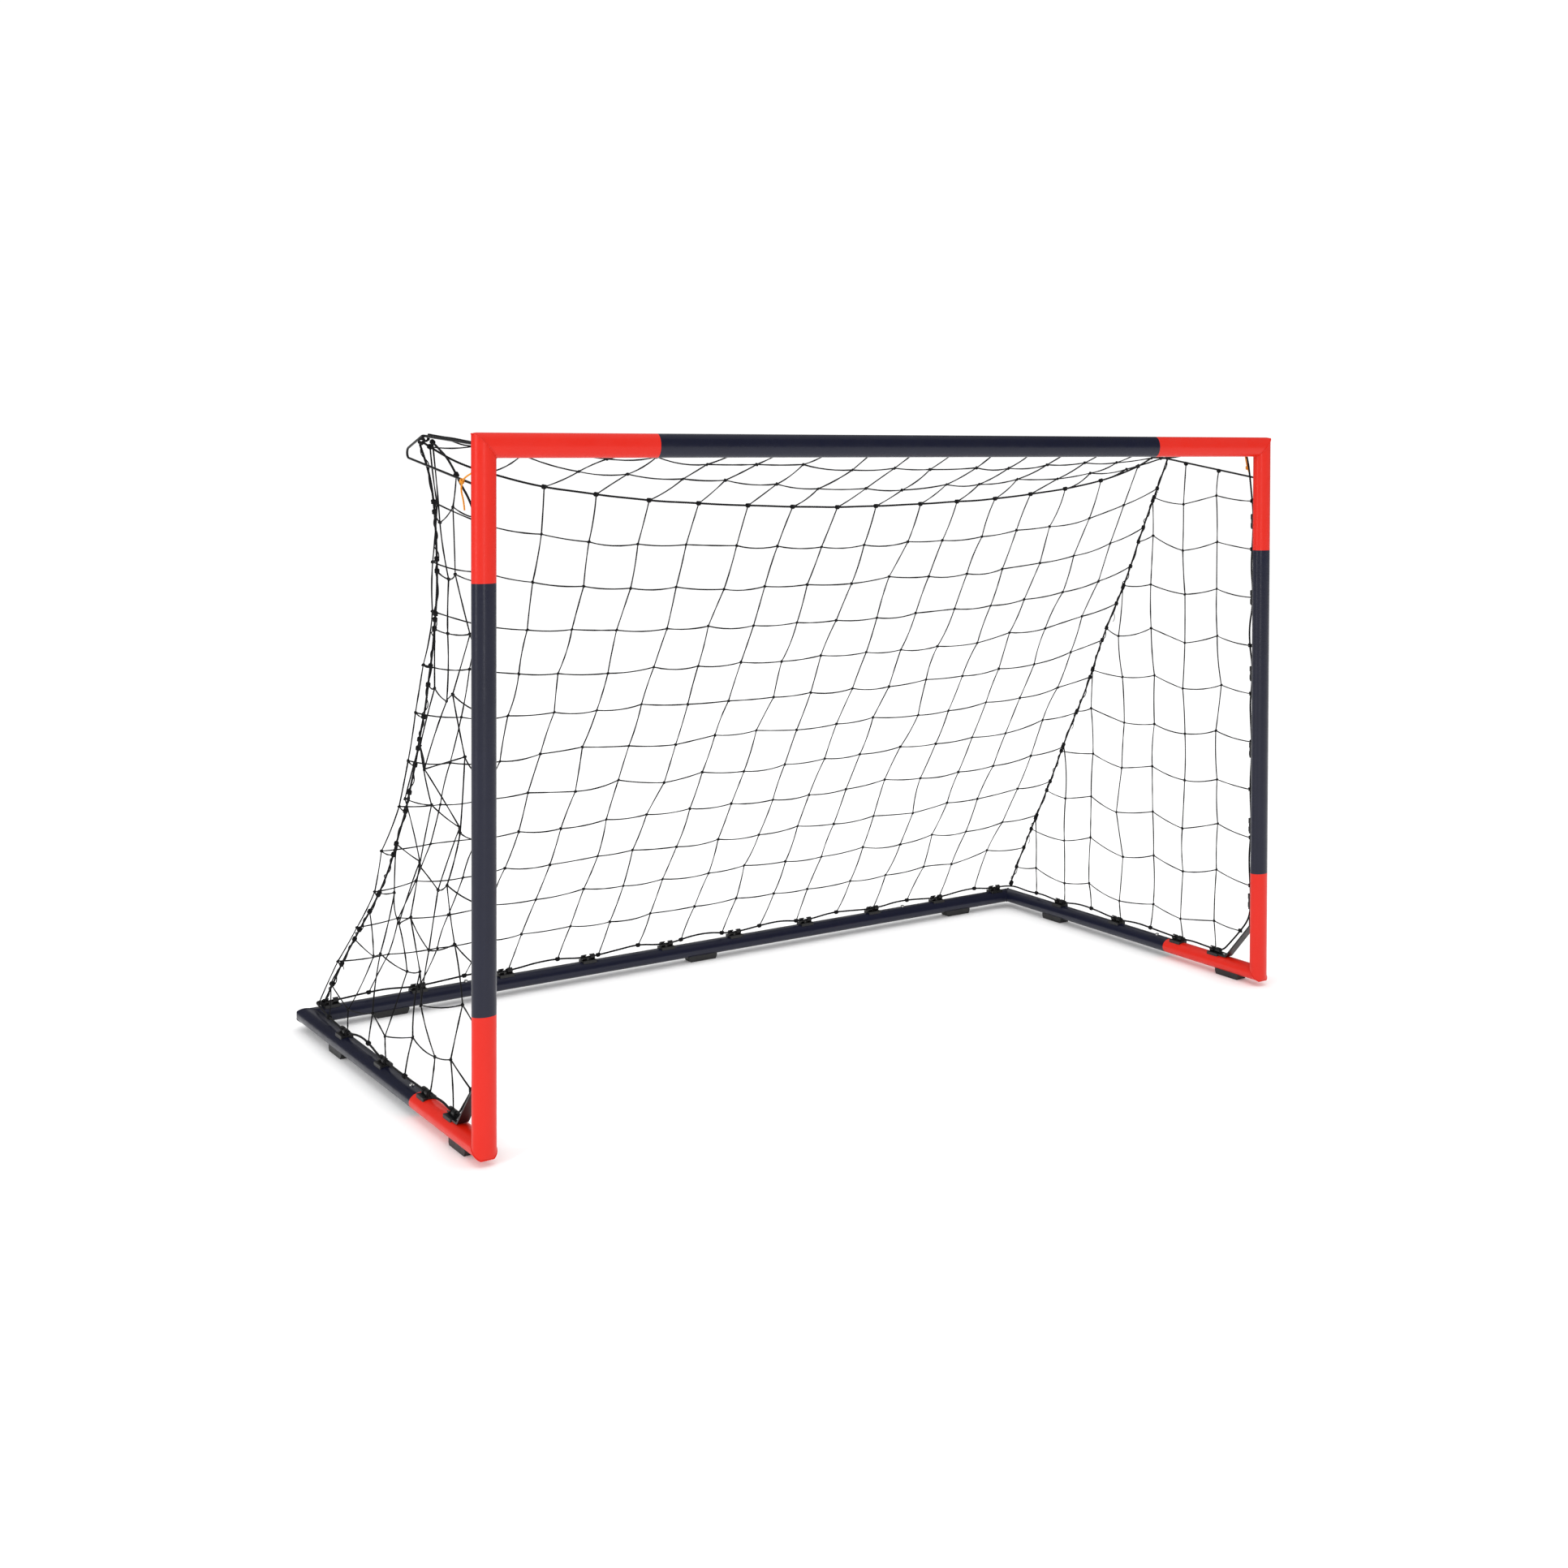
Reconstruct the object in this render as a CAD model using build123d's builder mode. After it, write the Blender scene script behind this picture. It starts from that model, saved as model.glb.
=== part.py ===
from build123d import *
import os
from math import pi, radians, sqrt, tan

# Junior soccer goal: a knock-down frame of oval steel tube, with a knotted net hung behind the mouth.
# X runs along the crossbar, +Y goes from the mouth to the back rail and +Z is up.  The origin is at the
# middle of the footprint, on the ground.  All sizes are in millimetres.

os.makedirs("parts", exist_ok=True)

# overall sizes
overall_width = 1753.0  # outside of one post to the outside of the other
overall_height = 1143.0  # ground to the top of the crossbar
overall_depth = 873.0  # front of the mouth to the back of the back rail

# oval tube
tube_wide = 40.0  # long axis of the oval
tube_deep = 30.0  # short axis of the oval
tube_wall = 1.2
corner_radius = 8.0  # outside of each welded corner
foot_height = 9.0  # gap that the pads keep under the base tubes
cut_over = 1.0  # cuts start and end this far outside the metal

# lengths of the corner pieces, from the outside of the frame to each joint
top_arm = 321.5
top_drop = 234.0
bottom_rise = 226.0
bottom_reach = 282.5
back_arm = 321.5

# spigots that join the tubes
spigot_length = 60.0
spigot_root = 12.0  # length that is fixed inside its own tube
spigot_wall = 1.2
spigot_gap = 0.1  # all round, inside the next tube

# snap buttons and their leaf springs
button_diameter = 8.0
button_gap = 0.05  # all round, in the holes
button_proud = 4.0
button_crown = 1.8
button_flange_diameter = 11.0
button_flange = 1.5
flange_gap = 0.1  # under the spigot's wall
button_from_joint = 38.5
back_button_from_joint = 15.0
spring_thickness = 0.8
spring_width = 8.0
spring_tail = 10.0  # from the button to the free end of the lower leg
spring_foot = 34.0  # from the button to the bend
spring_bend = 3.0
spring_gap = 0.35  # between the leaf's end and the button's flange

# net hoops of bent wire
hoop_wire = 4.0
hoop_gap = 0.1  # all round, in the holes
hoop_bend = 9.0
hoop_inside = 6.0  # the legs end this far behind the middle of the tube
hoop_upper_drop = 20.0  # upper leg's hole, below the top of the crossbar
hoop_lower_drop = 86.0
hoop_upper_reach = 254.0  # back from the middle of the post
hoop_lower_reach = 354.0
hoop_tip_drop = 5.0  # middle of the wire at the upper bend, below the top of the crossbar
hoop_end_drop = 37.0

# braces between post and side rail, and their screws
brace_width = 20.0
brace_thickness = 3.0
brace_tab = 20.0
brace_reach = 97.0  # from the middle of the post to the middle of the rail's tab
brace_rise = 92.0  # from the top of the rail to the middle of the post's tab
brace_bend = 4.0
screw_diameter = 5.0
screw_length = 9.0
screw_gap = 0.05
screw_head_diameter = 10.0
screw_head = 3.0

# pads under the base
foot_length = 70.0
foot_width = 26.0
foot_slope = 5.0  # each end is this much shorter at the ground
foot_edge = 3.0
foot_stud = 6.0
foot_from_front = 80.0  # back from the middle of the post
foot_from_back = 182.0  # forward from the middle of the back rail
foot_from_corner = 160.0  # along the back rail, from the middle of the side rail

# net clips
clip_length = 32.0
clip_width = 24.0
clip_base = 3.0
clip_edge = 2.0
clip_stud = 5.0
stud_gap = 0.05
stud_reach = 2.0  # past the inside of the tube's wall
saddle = 3.5  # how far the base reaches down round the tube
hook_wall = 3.0
hook_width = 10.0
hook_spacing = 18.0
hook_mouth = 4.6
hook_sink = 0.5  # into the base
hook_gap = 0.6  # all round, about the rope

# where the clips sit along each tube
post_clip_heights = [172.0, 331.0, 490.0, 650.0, 809.0, 968.0]
side_clip_reaches = [124.0, 240.0, 440.0, 640.0]  # back from the middle of the post
bar_clip_offsets = [85.0, 270.0, 455.0, 640.0, 790.0]  # out from the middle of the crossbar
back_clip_offsets = [85.0, 270.0, 455.0, 640.0, 815.0]  # out from the middle of the back rail

# ropes, ties and net
rope_diameter = 4.0
rope_grip = 19.0  # half of the straight stretch through a clip
tie_diameter = 3.0
arc_share = 0.45  # share of the shorter run that a bend takes up
net_thickness = 2.0
net_margin = 12.0  # the net panels stop this far inside the ropes about them
net_inset = 18.5  # from the middle of a post to the ends of the roof and back panels
net_inset_slack = 70.5  # the same, where the left side of the net hangs slack

# worked out from the sizes above
post_x = (overall_width - tube_wide) / 2
mouth_y = (tube_deep - overall_depth) / 2
back_y = (overall_depth - tube_wide) / 2
bar_z = overall_height - tube_wide / 2
rail_z = foot_height + tube_deep / 2
rail_top = foot_height + tube_deep
crest = tube_deep / 2
bar_seam_x = overall_width / 2 - top_arm
post_seam_high = overall_height - top_drop
post_seam_low = foot_height + bottom_rise
side_seam_y = bottom_reach - overall_depth / 2
back_seam_x = overall_width / 2 - back_arm
bore_wide = tube_wide - 2 * tube_wall
bore_deep = tube_deep - 2 * tube_wall
spigot_wide = bore_wide - 2 * spigot_gap
spigot_deep = bore_deep - 2 * spigot_gap
spigot_bore_wide = spigot_wide - 2 * spigot_wall
spigot_bore_deep = spigot_deep - 2 * spigot_wall
rope_lift = clip_base - hook_sink + hook_wall + hook_gap + rope_diameter / 2

x_axis = Vector(1, 0, 0)
y_axis = Vector(0, 1, 0)
z_axis = Vector(0, 0, 1)


def save(part, label):
    """Label a finished piece and write it."""
    part.label = label
    export_step(part, f"parts/{label}.step")


# ---------------------------------------------------------------- places on the tubes
# Each place is a plane on the crest of a tube, with x along the tube and z out of it.
def back_of_post(height, along=z_axis):
    return Plane(origin=(post_x, mouth_y + crest, height), x_dir=along, z_dir=y_axis)


def back_of_bar(offset, along=x_axis):
    return Plane(origin=(offset, mouth_y + crest, bar_z), x_dir=along, z_dir=y_axis)


def top_of_side(reach, along=y_axis):
    return Plane(origin=(post_x, mouth_y + reach, rail_top), x_dir=along, z_dir=z_axis)


def top_of_back(offset, along=x_axis):
    return Plane(origin=(offset, back_y, rail_top), x_dir=along, z_dir=z_axis)


def under_side(y):
    return Plane(origin=(post_x, y, foot_height), x_dir=y_axis, z_dir=-z_axis)


def under_back(x):
    return Plane(origin=(x, back_y, foot_height), x_dir=x_axis, z_dir=-z_axis)


def other_side(places):
    """The same places on the left half of the goal."""
    turned = []
    for place in places:
        origin = Vector(-place.origin.X, place.origin.Y, place.origin.Z)
        along = Vector(-place.x_dir.X, place.x_dir.Y, place.x_dir.Z)
        turned.append(Plane(origin=origin, x_dir=along, z_dir=place.z_dir))
    return turned


post_clips = [back_of_post(height) for height in post_clip_heights]
side_clips = [top_of_side(reach) for reach in side_clip_reaches]
bar_clips = [back_of_bar(offset) for offset in bar_clip_offsets]
back_clips = [top_of_back(offset) for offset in back_clip_offsets]

bar_button = back_of_bar(bar_seam_x - button_from_joint, along=-x_axis)
post_high_button = back_of_post(post_seam_high - button_from_joint, along=-z_axis)
post_low_button = back_of_post(post_seam_low + button_from_joint)
side_button = top_of_side(side_seam_y - mouth_y + button_from_joint)
back_button = top_of_back(back_seam_x - back_button_from_joint, along=-x_axis)

foot_side_front = under_side(mouth_y + foot_from_front)
foot_side_back = under_side(back_y - foot_from_back)
foot_back_corner = under_back(post_x - foot_from_corner)
foot_back_middle = under_back(0.0)

brace_on_rail = top_of_side(brace_reach)
brace_on_post = back_of_post(rail_top + brace_rise)


# ---------------------------------------------------------------- shared tube work
def oval_run(points, wide_dir, wide, deep, corner_radius):
    """A solid oval bar along straight runs, with a mitred corner that is rounded on the outside."""
    run = (Vector(points[1]) - Vector(points[0])).normalized()
    with BuildPart() as bar:
        with BuildLine() as route:
            Polyline(*points)
        with BuildSketch(Plane(origin=points[0], x_dir=wide_dir, z_dir=run)):
            Ellipse(wide / 2, deep / 2)
        sweep(path=route.wire(), transition=Transition.RIGHT)
        if len(points) == 3:
            turned = (Vector(points[2]) - Vector(points[1])).normalized()
            normal = run.cross(turned)
            half = wide / 2 if abs(normal.dot(wide_dir)) < 0.5 else deep / 2
            centre, clear = corner_radius - half, -half - cut_over
            with BuildSketch(Plane(origin=points[1], x_dir=-run, z_dir=-normal)):
                with BuildLine():
                    arc = CenterArc((centre, centre), corner_radius, 180, 90)
                    Polyline(arc @ 1, (centre, clear), (clear, clear), (clear, centre), arc @ 0)
                make_face()
            extrude(amount=wide, both=True, mode=Mode.SUBTRACT)
    return bar.part


def tube_shapes(points, wide_dir):
    """The outside of a tube and its bore."""
    outside = oval_run(points, wide_dir, tube_wide, tube_deep, corner_radius)
    bore = oval_run(points, wide_dir, bore_wide, bore_deep, corner_radius - tube_wall)
    return outside, bore


def spigot(seam, run, wide_dir):
    """A reduced oval sleeve, fixed in its own tube, that the next tube slides over."""
    root = Vector(seam) - run * spigot_root
    with BuildSketch(Plane(origin=root, x_dir=wide_dir, z_dir=run)) as fixed_end:
        Ellipse(bore_wide / 2, bore_deep / 2)
        Ellipse(spigot_bore_wide / 2, spigot_bore_deep / 2, mode=Mode.SUBTRACT)
    extrude(fixed_end.sketch, amount=spigot_root)
    with BuildSketch(Plane(origin=seam, x_dir=wide_dir, z_dir=run)) as free_end:
        Ellipse(spigot_wide / 2, spigot_deep / 2)
        Ellipse(spigot_bore_wide / 2, spigot_bore_deep / 2, mode=Mode.SUBTRACT)
    extrude(free_end.sketch, amount=spigot_length)


def drill(places, diameter, depth):
    """Round holes through the wall at places on a tube's crest."""
    with Locations(*[place.offset(cut_over) for place in places]):
        Hole(radius=diameter / 2, depth=depth + cut_over)


wall_depth = tube_wall + spigot_gap + spigot_wall + 2 * cut_over
button_hole = button_diameter + 2 * button_gap
stud_hole = clip_stud + 2 * stud_gap
foot_hole = foot_stud + 2 * stud_gap
screw_hole = screw_diameter + 2 * screw_gap

# ---------------------------------------------------------------- net hoops
hoop_start_y = mouth_y + hoop_inside
hoop_points = [
    (post_x, hoop_start_y, overall_height - hoop_upper_drop),
    (post_x, mouth_y + hoop_upper_reach, overall_height - hoop_tip_drop),
    (post_x, mouth_y + hoop_lower_reach, overall_height - hoop_end_drop),
    (post_x, hoop_start_y, overall_height - hoop_lower_drop),
]


def hoop_sweep(diameter, mode=Mode.ADD):
    """The hoop's bent wire, or the holes that it goes in."""
    with BuildLine() as route:
        FilletPolyline(*hoop_points, radius=hoop_bend)
    first = Vector(hoop_points[1]) - Vector(hoop_points[0])
    with BuildSketch(Plane(origin=hoop_points[0], x_dir=x_axis, z_dir=first)) as section:
        Circle(diameter / 2)
    sweep(section.sketch, path=route.wire(), mode=mode)


with BuildPart() as net_hoop_right:
    hoop_sweep(hoop_wire)
save(net_hoop_right.part, "net_hoop_right")

with BuildPart() as net_hoop_left:
    mirror(net_hoop_right.part, about=Plane.YZ)
save(net_hoop_left.part, "net_hoop_left")

# ---------------------------------------------------------------- top corners
bar_seam = (bar_seam_x, mouth_y, bar_z)
post_seam = (post_x, mouth_y, post_seam_high)
outside, bore = tube_shapes([bar_seam, (post_x, mouth_y, bar_z), post_seam], z_axis)
with BuildPart() as top_corner_right:
    add(outside)
    add(bore, mode=Mode.SUBTRACT)
    spigot(bar_seam, -x_axis, z_axis)
    spigot(post_seam, -z_axis, x_axis)
    drill([bar_button, post_high_button], button_hole, wall_depth)
    drill([place for place in bar_clips if place.origin.X > bar_seam_x], stud_hole, wall_depth)
    drill([place for place in post_clips if place.origin.Z > post_seam_high], stud_hole, wall_depth)
    hoop_sweep(hoop_wire + 2 * hoop_gap, mode=Mode.SUBTRACT)
save(top_corner_right.part, "top_corner_right")

with BuildPart() as top_corner_left:
    mirror(top_corner_right.part, about=Plane.YZ)
save(top_corner_left.part, "top_corner_left")

# ---------------------------------------------------------------- crossbar
outside, bore = tube_shapes([(-bar_seam_x, mouth_y, bar_z), (bar_seam_x, mouth_y, bar_z)], z_axis)
with BuildPart() as crossbar_middle:
    add(outside)
    add(bore, mode=Mode.SUBTRACT)
    middle_clips = [place for place in bar_clips if place.origin.X < bar_seam_x]
    drill(middle_clips + other_side(middle_clips), stud_hole, wall_depth)
    drill([bar_button] + other_side([bar_button]), button_hole, wall_depth)
save(crossbar_middle.part, "crossbar_middle")

# ---------------------------------------------------------------- posts
post_ends = [(post_x, mouth_y, post_seam_low), (post_x, mouth_y, post_seam_high)]
outside, bore = tube_shapes(post_ends, x_axis)
with BuildPart() as post_middle_right:
    add(outside)
    add(bore, mode=Mode.SUBTRACT)
    spanned = [p for p in post_clips if post_seam_low < p.origin.Z < post_seam_high]
    drill(spanned, stud_hole, wall_depth)
    drill([post_high_button, post_low_button], button_hole, wall_depth)
save(post_middle_right.part, "post_middle_right")

with BuildPart() as post_middle_left:
    mirror(post_middle_right.part, about=Plane.YZ)
save(post_middle_left.part, "post_middle_left")

# ---------------------------------------------------------------- bottom corners
post_seam = (post_x, mouth_y, post_seam_low)
side_seam = (post_x, side_seam_y, rail_z)
outside, bore = tube_shapes([post_seam, (post_x, mouth_y, rail_z), side_seam], x_axis)
with BuildPart() as bottom_corner_right:
    add(outside)
    add(bore, mode=Mode.SUBTRACT)
    spigot(post_seam, z_axis, x_axis)
    spigot(side_seam, y_axis, x_axis)
    drill([post_low_button, side_button], button_hole, wall_depth)
    drill([place for place in post_clips if place.origin.Z < post_seam_low], stud_hole, wall_depth)
    drill([place for place in side_clips if place.origin.Y < side_seam_y], stud_hole, wall_depth)
    drill([foot_side_front], foot_hole, wall_depth)
    drill([brace_on_rail, brace_on_post], screw_hole, wall_depth)
save(bottom_corner_right.part, "bottom_corner_right")

with BuildPart() as bottom_corner_left:
    mirror(bottom_corner_right.part, about=Plane.YZ)
save(bottom_corner_left.part, "bottom_corner_left")

# ---------------------------------------------------------------- side rails with the back corners
back_seam = (back_seam_x, back_y, rail_z)
outside, bore = tube_shapes([side_seam, (post_x, back_y, rail_z), back_seam], x_axis)
with BuildPart() as side_rail_right:
    add(outside)
    add(bore, mode=Mode.SUBTRACT)
    spigot(back_seam, -x_axis, y_axis)
    drill([side_button, back_button], button_hole, wall_depth)
    drill([place for place in side_clips if place.origin.Y > side_seam_y], stud_hole, wall_depth)
    drill([place for place in back_clips if place.origin.X > back_seam_x], stud_hole, wall_depth)
    drill([foot_side_back, foot_back_corner], foot_hole, wall_depth)
save(side_rail_right.part, "side_rail_right")

with BuildPart() as side_rail_left:
    mirror(side_rail_right.part, about=Plane.YZ)
save(side_rail_left.part, "side_rail_left")

# ---------------------------------------------------------------- back rail
outside, bore = tube_shapes([(-back_seam_x, back_y, rail_z), (back_seam_x, back_y, rail_z)], y_axis)
with BuildPart() as back_rail:
    add(outside)
    add(bore, mode=Mode.SUBTRACT)
    middle_clips = [place for place in back_clips if place.origin.X < back_seam_x]
    drill(middle_clips + other_side(middle_clips), stud_hole, wall_depth)
    drill([back_button] + other_side([back_button]), button_hole, wall_depth)
    drill([foot_back_middle], foot_hole, wall_depth)
save(back_rail.part, "back_rail")

# ---------------------------------------------------------------- snap buttons
# The flange stops against the curved inside of the spigot, so it starts below that curve.
flange_sag = spigot_bore_deep / 2 * (1 - sqrt(1 - (button_flange_diameter / spigot_bore_wide) ** 2))
flange_top = -(crest - spigot_bore_deep / 2) - flange_sag - flange_gap

with BuildPart() as button_unit:
    with BuildSketch(Plane.XY.offset(flange_top - button_flange)):
        Circle(button_flange_diameter / 2)
    extrude(amount=button_flange)
    with BuildSketch(Plane.XY.offset(flange_top)):
        Circle(button_diameter / 2)
    extrude(amount=button_proud - flange_top)
    fillet(button_unit.faces().sort_by(Axis.Z)[-1].edges(), button_crown)

right_buttons = {
    "bar": bar_button,
    "post_high": post_high_button,
    "post_low": post_low_button,
    "side": side_button,
    "back": back_button,
}
for name, place in right_buttons.items():
    for side, spot in (("right", place), ("left", other_side([place])[0])):
        with BuildPart() as snap_button:
            with Locations(spot):
                add(button_unit.part)
        save(snap_button.part, f"snap_button_{name}_{side}")

# ---------------------------------------------------------------- leaf springs in the spigots
leg_sag = spigot_bore_deep / 2 * (1 - sqrt(1 - (spring_width / spigot_bore_wide) ** 2))
leg_z = -crest - spigot_bore_deep / 2 + leg_sag + spring_thickness / 2
leaf_end_x = -(button_flange_diameter / 2 + spring_gap)
leaf_end_z = flange_top - button_flange / 2
leaf_points = [
    (spring_tail, leg_z),
    (-spring_foot, leg_z),
    (-spring_foot - spring_bend, leg_z + 3 * spring_bend),
    (leaf_end_x, leaf_end_z),
]
with BuildPart() as snap_springs:
    right_places = list(right_buttons.values())
    for place in right_places + other_side(right_places):
        # drawn on the plane that holds the tube's line and the button's line
        with BuildSketch(Plane(origin=place.origin, x_dir=place.x_dir, z_dir=-place.y_dir)):
            with BuildLine():
                FilletPolyline(*leaf_points, radius=spring_bend)
            trace(line_width=spring_thickness)
        extrude(amount=spring_width / 2, both=True)
save(snap_springs.part, "snap_springs")

# ---------------------------------------------------------------- braces
with BuildPart() as brace_right:
    lying = rail_top + brace_thickness / 2
    standing = mouth_y + crest + brace_thickness / 2
    brace_points = [
        (mouth_y + brace_reach + brace_tab / 2, lying),
        (mouth_y + brace_reach - brace_tab / 2, lying),
        (standing, rail_top + brace_rise - brace_tab / 2),
        (standing, rail_top + brace_rise + brace_tab / 2),
    ]
    with BuildSketch(Plane.YZ.offset(post_x)):
        with BuildLine():
            FilletPolyline(*brace_points, radius=brace_bend)
        trace(line_width=brace_thickness)
    extrude(amount=brace_width / 2, both=True)
    with Locations(brace_on_rail.offset(brace_thickness), brace_on_post.offset(brace_thickness)):
        Hole(radius=screw_hole / 2, depth=brace_thickness + cut_over)
save(brace_right.part, "brace_right")

with BuildPart() as brace_left:
    mirror(brace_right.part, about=Plane.YZ)
save(brace_left.part, "brace_left")

with BuildPart() as screw_unit:
    with BuildSketch(Plane.XY):
        Circle(screw_head_diameter / 2)
    extrude(amount=screw_head)
    fillet(screw_unit.faces().sort_by(Axis.Z)[-1].edges(), screw_head / 2)
    with BuildSketch(Plane.XY.offset(-screw_length)):
        Circle(screw_diameter / 2)
    extrude(amount=screw_length)

with BuildPart() as brace_screws:
    right_places = [brace_on_rail.offset(brace_thickness), brace_on_post.offset(brace_thickness)]
    with Locations(*right_places, *other_side(right_places)):
        add(screw_unit.part)
save(brace_screws.part, "brace_screws")


# ---------------------------------------------------------------- pads and clips, made once and placed
def tube_below():
    """Cut the shape of the tube out of a piece that sits on its crest at z = 0."""
    with BuildSketch(Plane.YZ.offset(-foot_length)) as section:
        with Locations((0, -crest)):
            Ellipse(tube_wide / 2, tube_deep / 2)
    extrude(section.sketch, amount=2 * foot_length, mode=Mode.SUBTRACT)


with BuildPart() as foot_unit:
    with BuildSketch(Plane.XZ.offset(-foot_width / 2)):
        with BuildLine():
            Polyline(
                (-foot_length / 2, -saddle),
                (foot_length / 2, -saddle),
                (foot_length / 2, 0),
                (foot_length / 2 - foot_slope, foot_height),
                (foot_slope - foot_length / 2, foot_height),
                (-foot_length / 2, 0),
                close=True,
            )
        make_face()
    extrude(amount=foot_width)
    fillet(foot_unit.edges().filter_by(Axis.Z), foot_edge)
    tube_below()
    with BuildSketch(Plane.XY.offset(-tube_wall - stud_reach)):
        Circle(foot_stud / 2)
    extrude(amount=tube_wall + stud_reach + foot_height / 2)

feet = {
    "foot_side_front_right": foot_side_front,
    "foot_side_front_left": other_side([foot_side_front])[0],
    "foot_side_back_right": foot_side_back,
    "foot_side_back_left": other_side([foot_side_back])[0],
    "foot_back_corner_right": foot_back_corner,
    "foot_back_corner_left": other_side([foot_back_corner])[0],
    "foot_back_middle": foot_back_middle,
}
for name, place in feet.items():
    with BuildPart() as foot:
        with Locations(place):
            add(foot_unit.part)
    save(foot.part, name)

hook_bore = rope_diameter / 2 + hook_gap
hook_outer = hook_bore + hook_wall
with BuildPart() as clip_unit:
    with BuildSketch(Plane.XY.offset(-saddle)):
        RectangleRounded(clip_length, clip_width, clip_edge)
    extrude(amount=saddle + clip_base)
    tube_below()
    with BuildSketch(Plane.XY.offset(-tube_wall - stud_reach)):
        Circle(clip_stud / 2)
    extrude(amount=tube_wall + stud_reach + clip_base / 2)
    # two open hooks, whose mouths face opposite sides of the rope
    for lean, start in ((60, -hook_spacing / 2), (-60, hook_spacing / 2)):
        with BuildSketch(Plane.YZ.offset(start - hook_width / 2)):
            with Locations((0, rope_lift)):
                Circle(hook_outer)
                Circle(hook_bore, mode=Mode.SUBTRACT)
            with Locations(Location((0, rope_lift, 0), (0, 0, lean))):
                mouth_depth = hook_outer + cut_over
                Rectangle(hook_mouth, mouth_depth, align=(Align.CENTER, Align.MIN), mode=Mode.SUBTRACT)
        extrude(amount=hook_width)


def clip_group(places, label):
    with BuildPart() as group:
        with Locations(*places):
            add(clip_unit.part)
    save(group.part, label)
    return group


clips_post_right = clip_group(post_clips, "clips_post_right")
clips_post_left = clip_group(other_side(post_clips), "clips_post_left")
clips_side_right = clip_group(side_clips, "clips_side_right")
clips_side_left = clip_group(other_side(side_clips), "clips_side_left")
clips_crossbar = clip_group(bar_clips + other_side(bar_clips), "clips_crossbar")
clips_back = clip_group(back_clips + other_side(back_clips), "clips_back")


# ---------------------------------------------------------------- ropes
def rope_radii(points):
    """The largest bend that each pair of runs allows."""
    corners = [Vector(point) for point in points]
    radii = []
    for before, here, after in zip(corners, corners[1:], corners[2:]):
        runs = here - before, after - here
        turn = runs[0].get_angle(runs[1])
        shorter = min(run.length for run in runs)
        radii.append(arc_share * shorter / tan(radians(turn / 2)))
    return radii


def rope(points, diameter, label):
    """A round cord along straight runs joined by tangent arcs."""
    radii = rope_radii(points)
    with BuildPart() as cord:
        with BuildLine() as route:
            FilletPolyline(*points, radius=radii)
        first = Vector(points[1]) - Vector(points[0])
        with BuildSketch(Plane(origin=points[0], z_dir=first)) as section:
            Circle(diameter / 2)
        sweep(section.sketch, path=route.wire())
    length = route.wire().length
    expected = length * pi * (diameter / 2) ** 2
    share = cord.part.volume / expected
    print(f"{label}: length {length:.0f}, smallest bend {min(radii):.0f}, volume share {share:.3f}")
    save(cord.part, label)
    return cord


def through_clips(places, side_dir, slack):
    """Rope points through clips in order: a straight grip in each, and two loose points between."""
    points = []
    travel = (places[1].origin - places[0].origin).normalized()
    for number, place in enumerate(places):
        middle = place.origin + place.z_dir * rope_lift
        points += [middle - travel * rope_grip, middle + travel * rope_grip]
        if number < len(slack):
            leave = middle + travel * rope_grip
            arrive = places[number + 1].origin + place.z_dir * rope_lift - travel * rope_grip
            for share, (lift, shift) in zip((1 / 3, 2 / 3), slack[number]):
                loose = leave + (arrive - leave) * share + place.z_dir * lift + side_dir * shift
                points.append(loose)
    return points


left_post_clips = other_side(post_clips)
left_side_clips = other_side(side_clips)
base_clips = other_side(back_clips)[::-1] + back_clips
top_clips = other_side(bar_clips)[::-1] + bar_clips

# loose points between clips: out from the tube, and across it
post_slack_left = [
    [(1.5, 1.5), (3.0, 2.5)],
    [(2.0, -1.5), (4.0, -1.0)],
    [(5.0, 1.0), (6.5, 2.0)],
    [(2.0, -2.0), (3.5, -3.0)],
    [(3.5, 3.0), (5.0, 2.0)],
]
post_slack_right = [
    [(2.0, -2.0), (3.5, -1.5)],
    [(4.0, 1.0), (5.0, 2.0)],
    [(2.0, -1.5), (2.5, -3.0)],
    [(6.0, -2.0), (8.0, -1.0)],
    [(3.0, -2.0), (2.0, -1.0)],
]
bar_slack = [
    [(2.0, -2.0), (3.0, -3.0)],
    [(3.0, -3.0), (2.0, -5.0)],
    [(2.0, -2.0), (3.5, -4.0)],
    [(4.0, -4.0), (3.0, -2.5)],
    [(2.0, -3.0), (3.0, -5.0)],
    [(3.0, -5.0), (2.0, -3.0)],
    [(4.0, -2.0), (3.0, -4.0)],
    [(2.0, -4.0), (3.0, -3.0)],
    [(3.0, -3.0), (2.0, -2.0)],
]
side_slack_left = [
    [(2.5, 1.5), (3.0, -1.0)],
    [(4.5, -6.0), (5.5, -7.0)],
    [(6.0, 3.0), (8.0, 5.0)],
]
side_slack_right = [
    [(2.0, -1.5), (3.0, -2.5)],
    [(5.0, -6.0), (7.0, -5.0)],
    [(7.0, -3.0), (9.0, -4.0)],
]
back_slack = [
    [(4.0, -1.5), (6.0, -3.0)],
    [(5.0, -6.0), (7.5, -5.0)],
    [(7.0, -2.0), (8.0, -4.0)],
    [(5.0, -3.0), (9.0, -2.0)],
    [(8.0, -1.0), (9.0, -4.0)],
    [(6.0, -3.0), (8.0, -1.5)],
    [(7.0, -2.0), (5.0, -4.0)],
    [(8.0, -5.0), (6.0, -5.0)],
    [(6.0, -2.0), (8.0, -3.0)],
]

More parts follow.
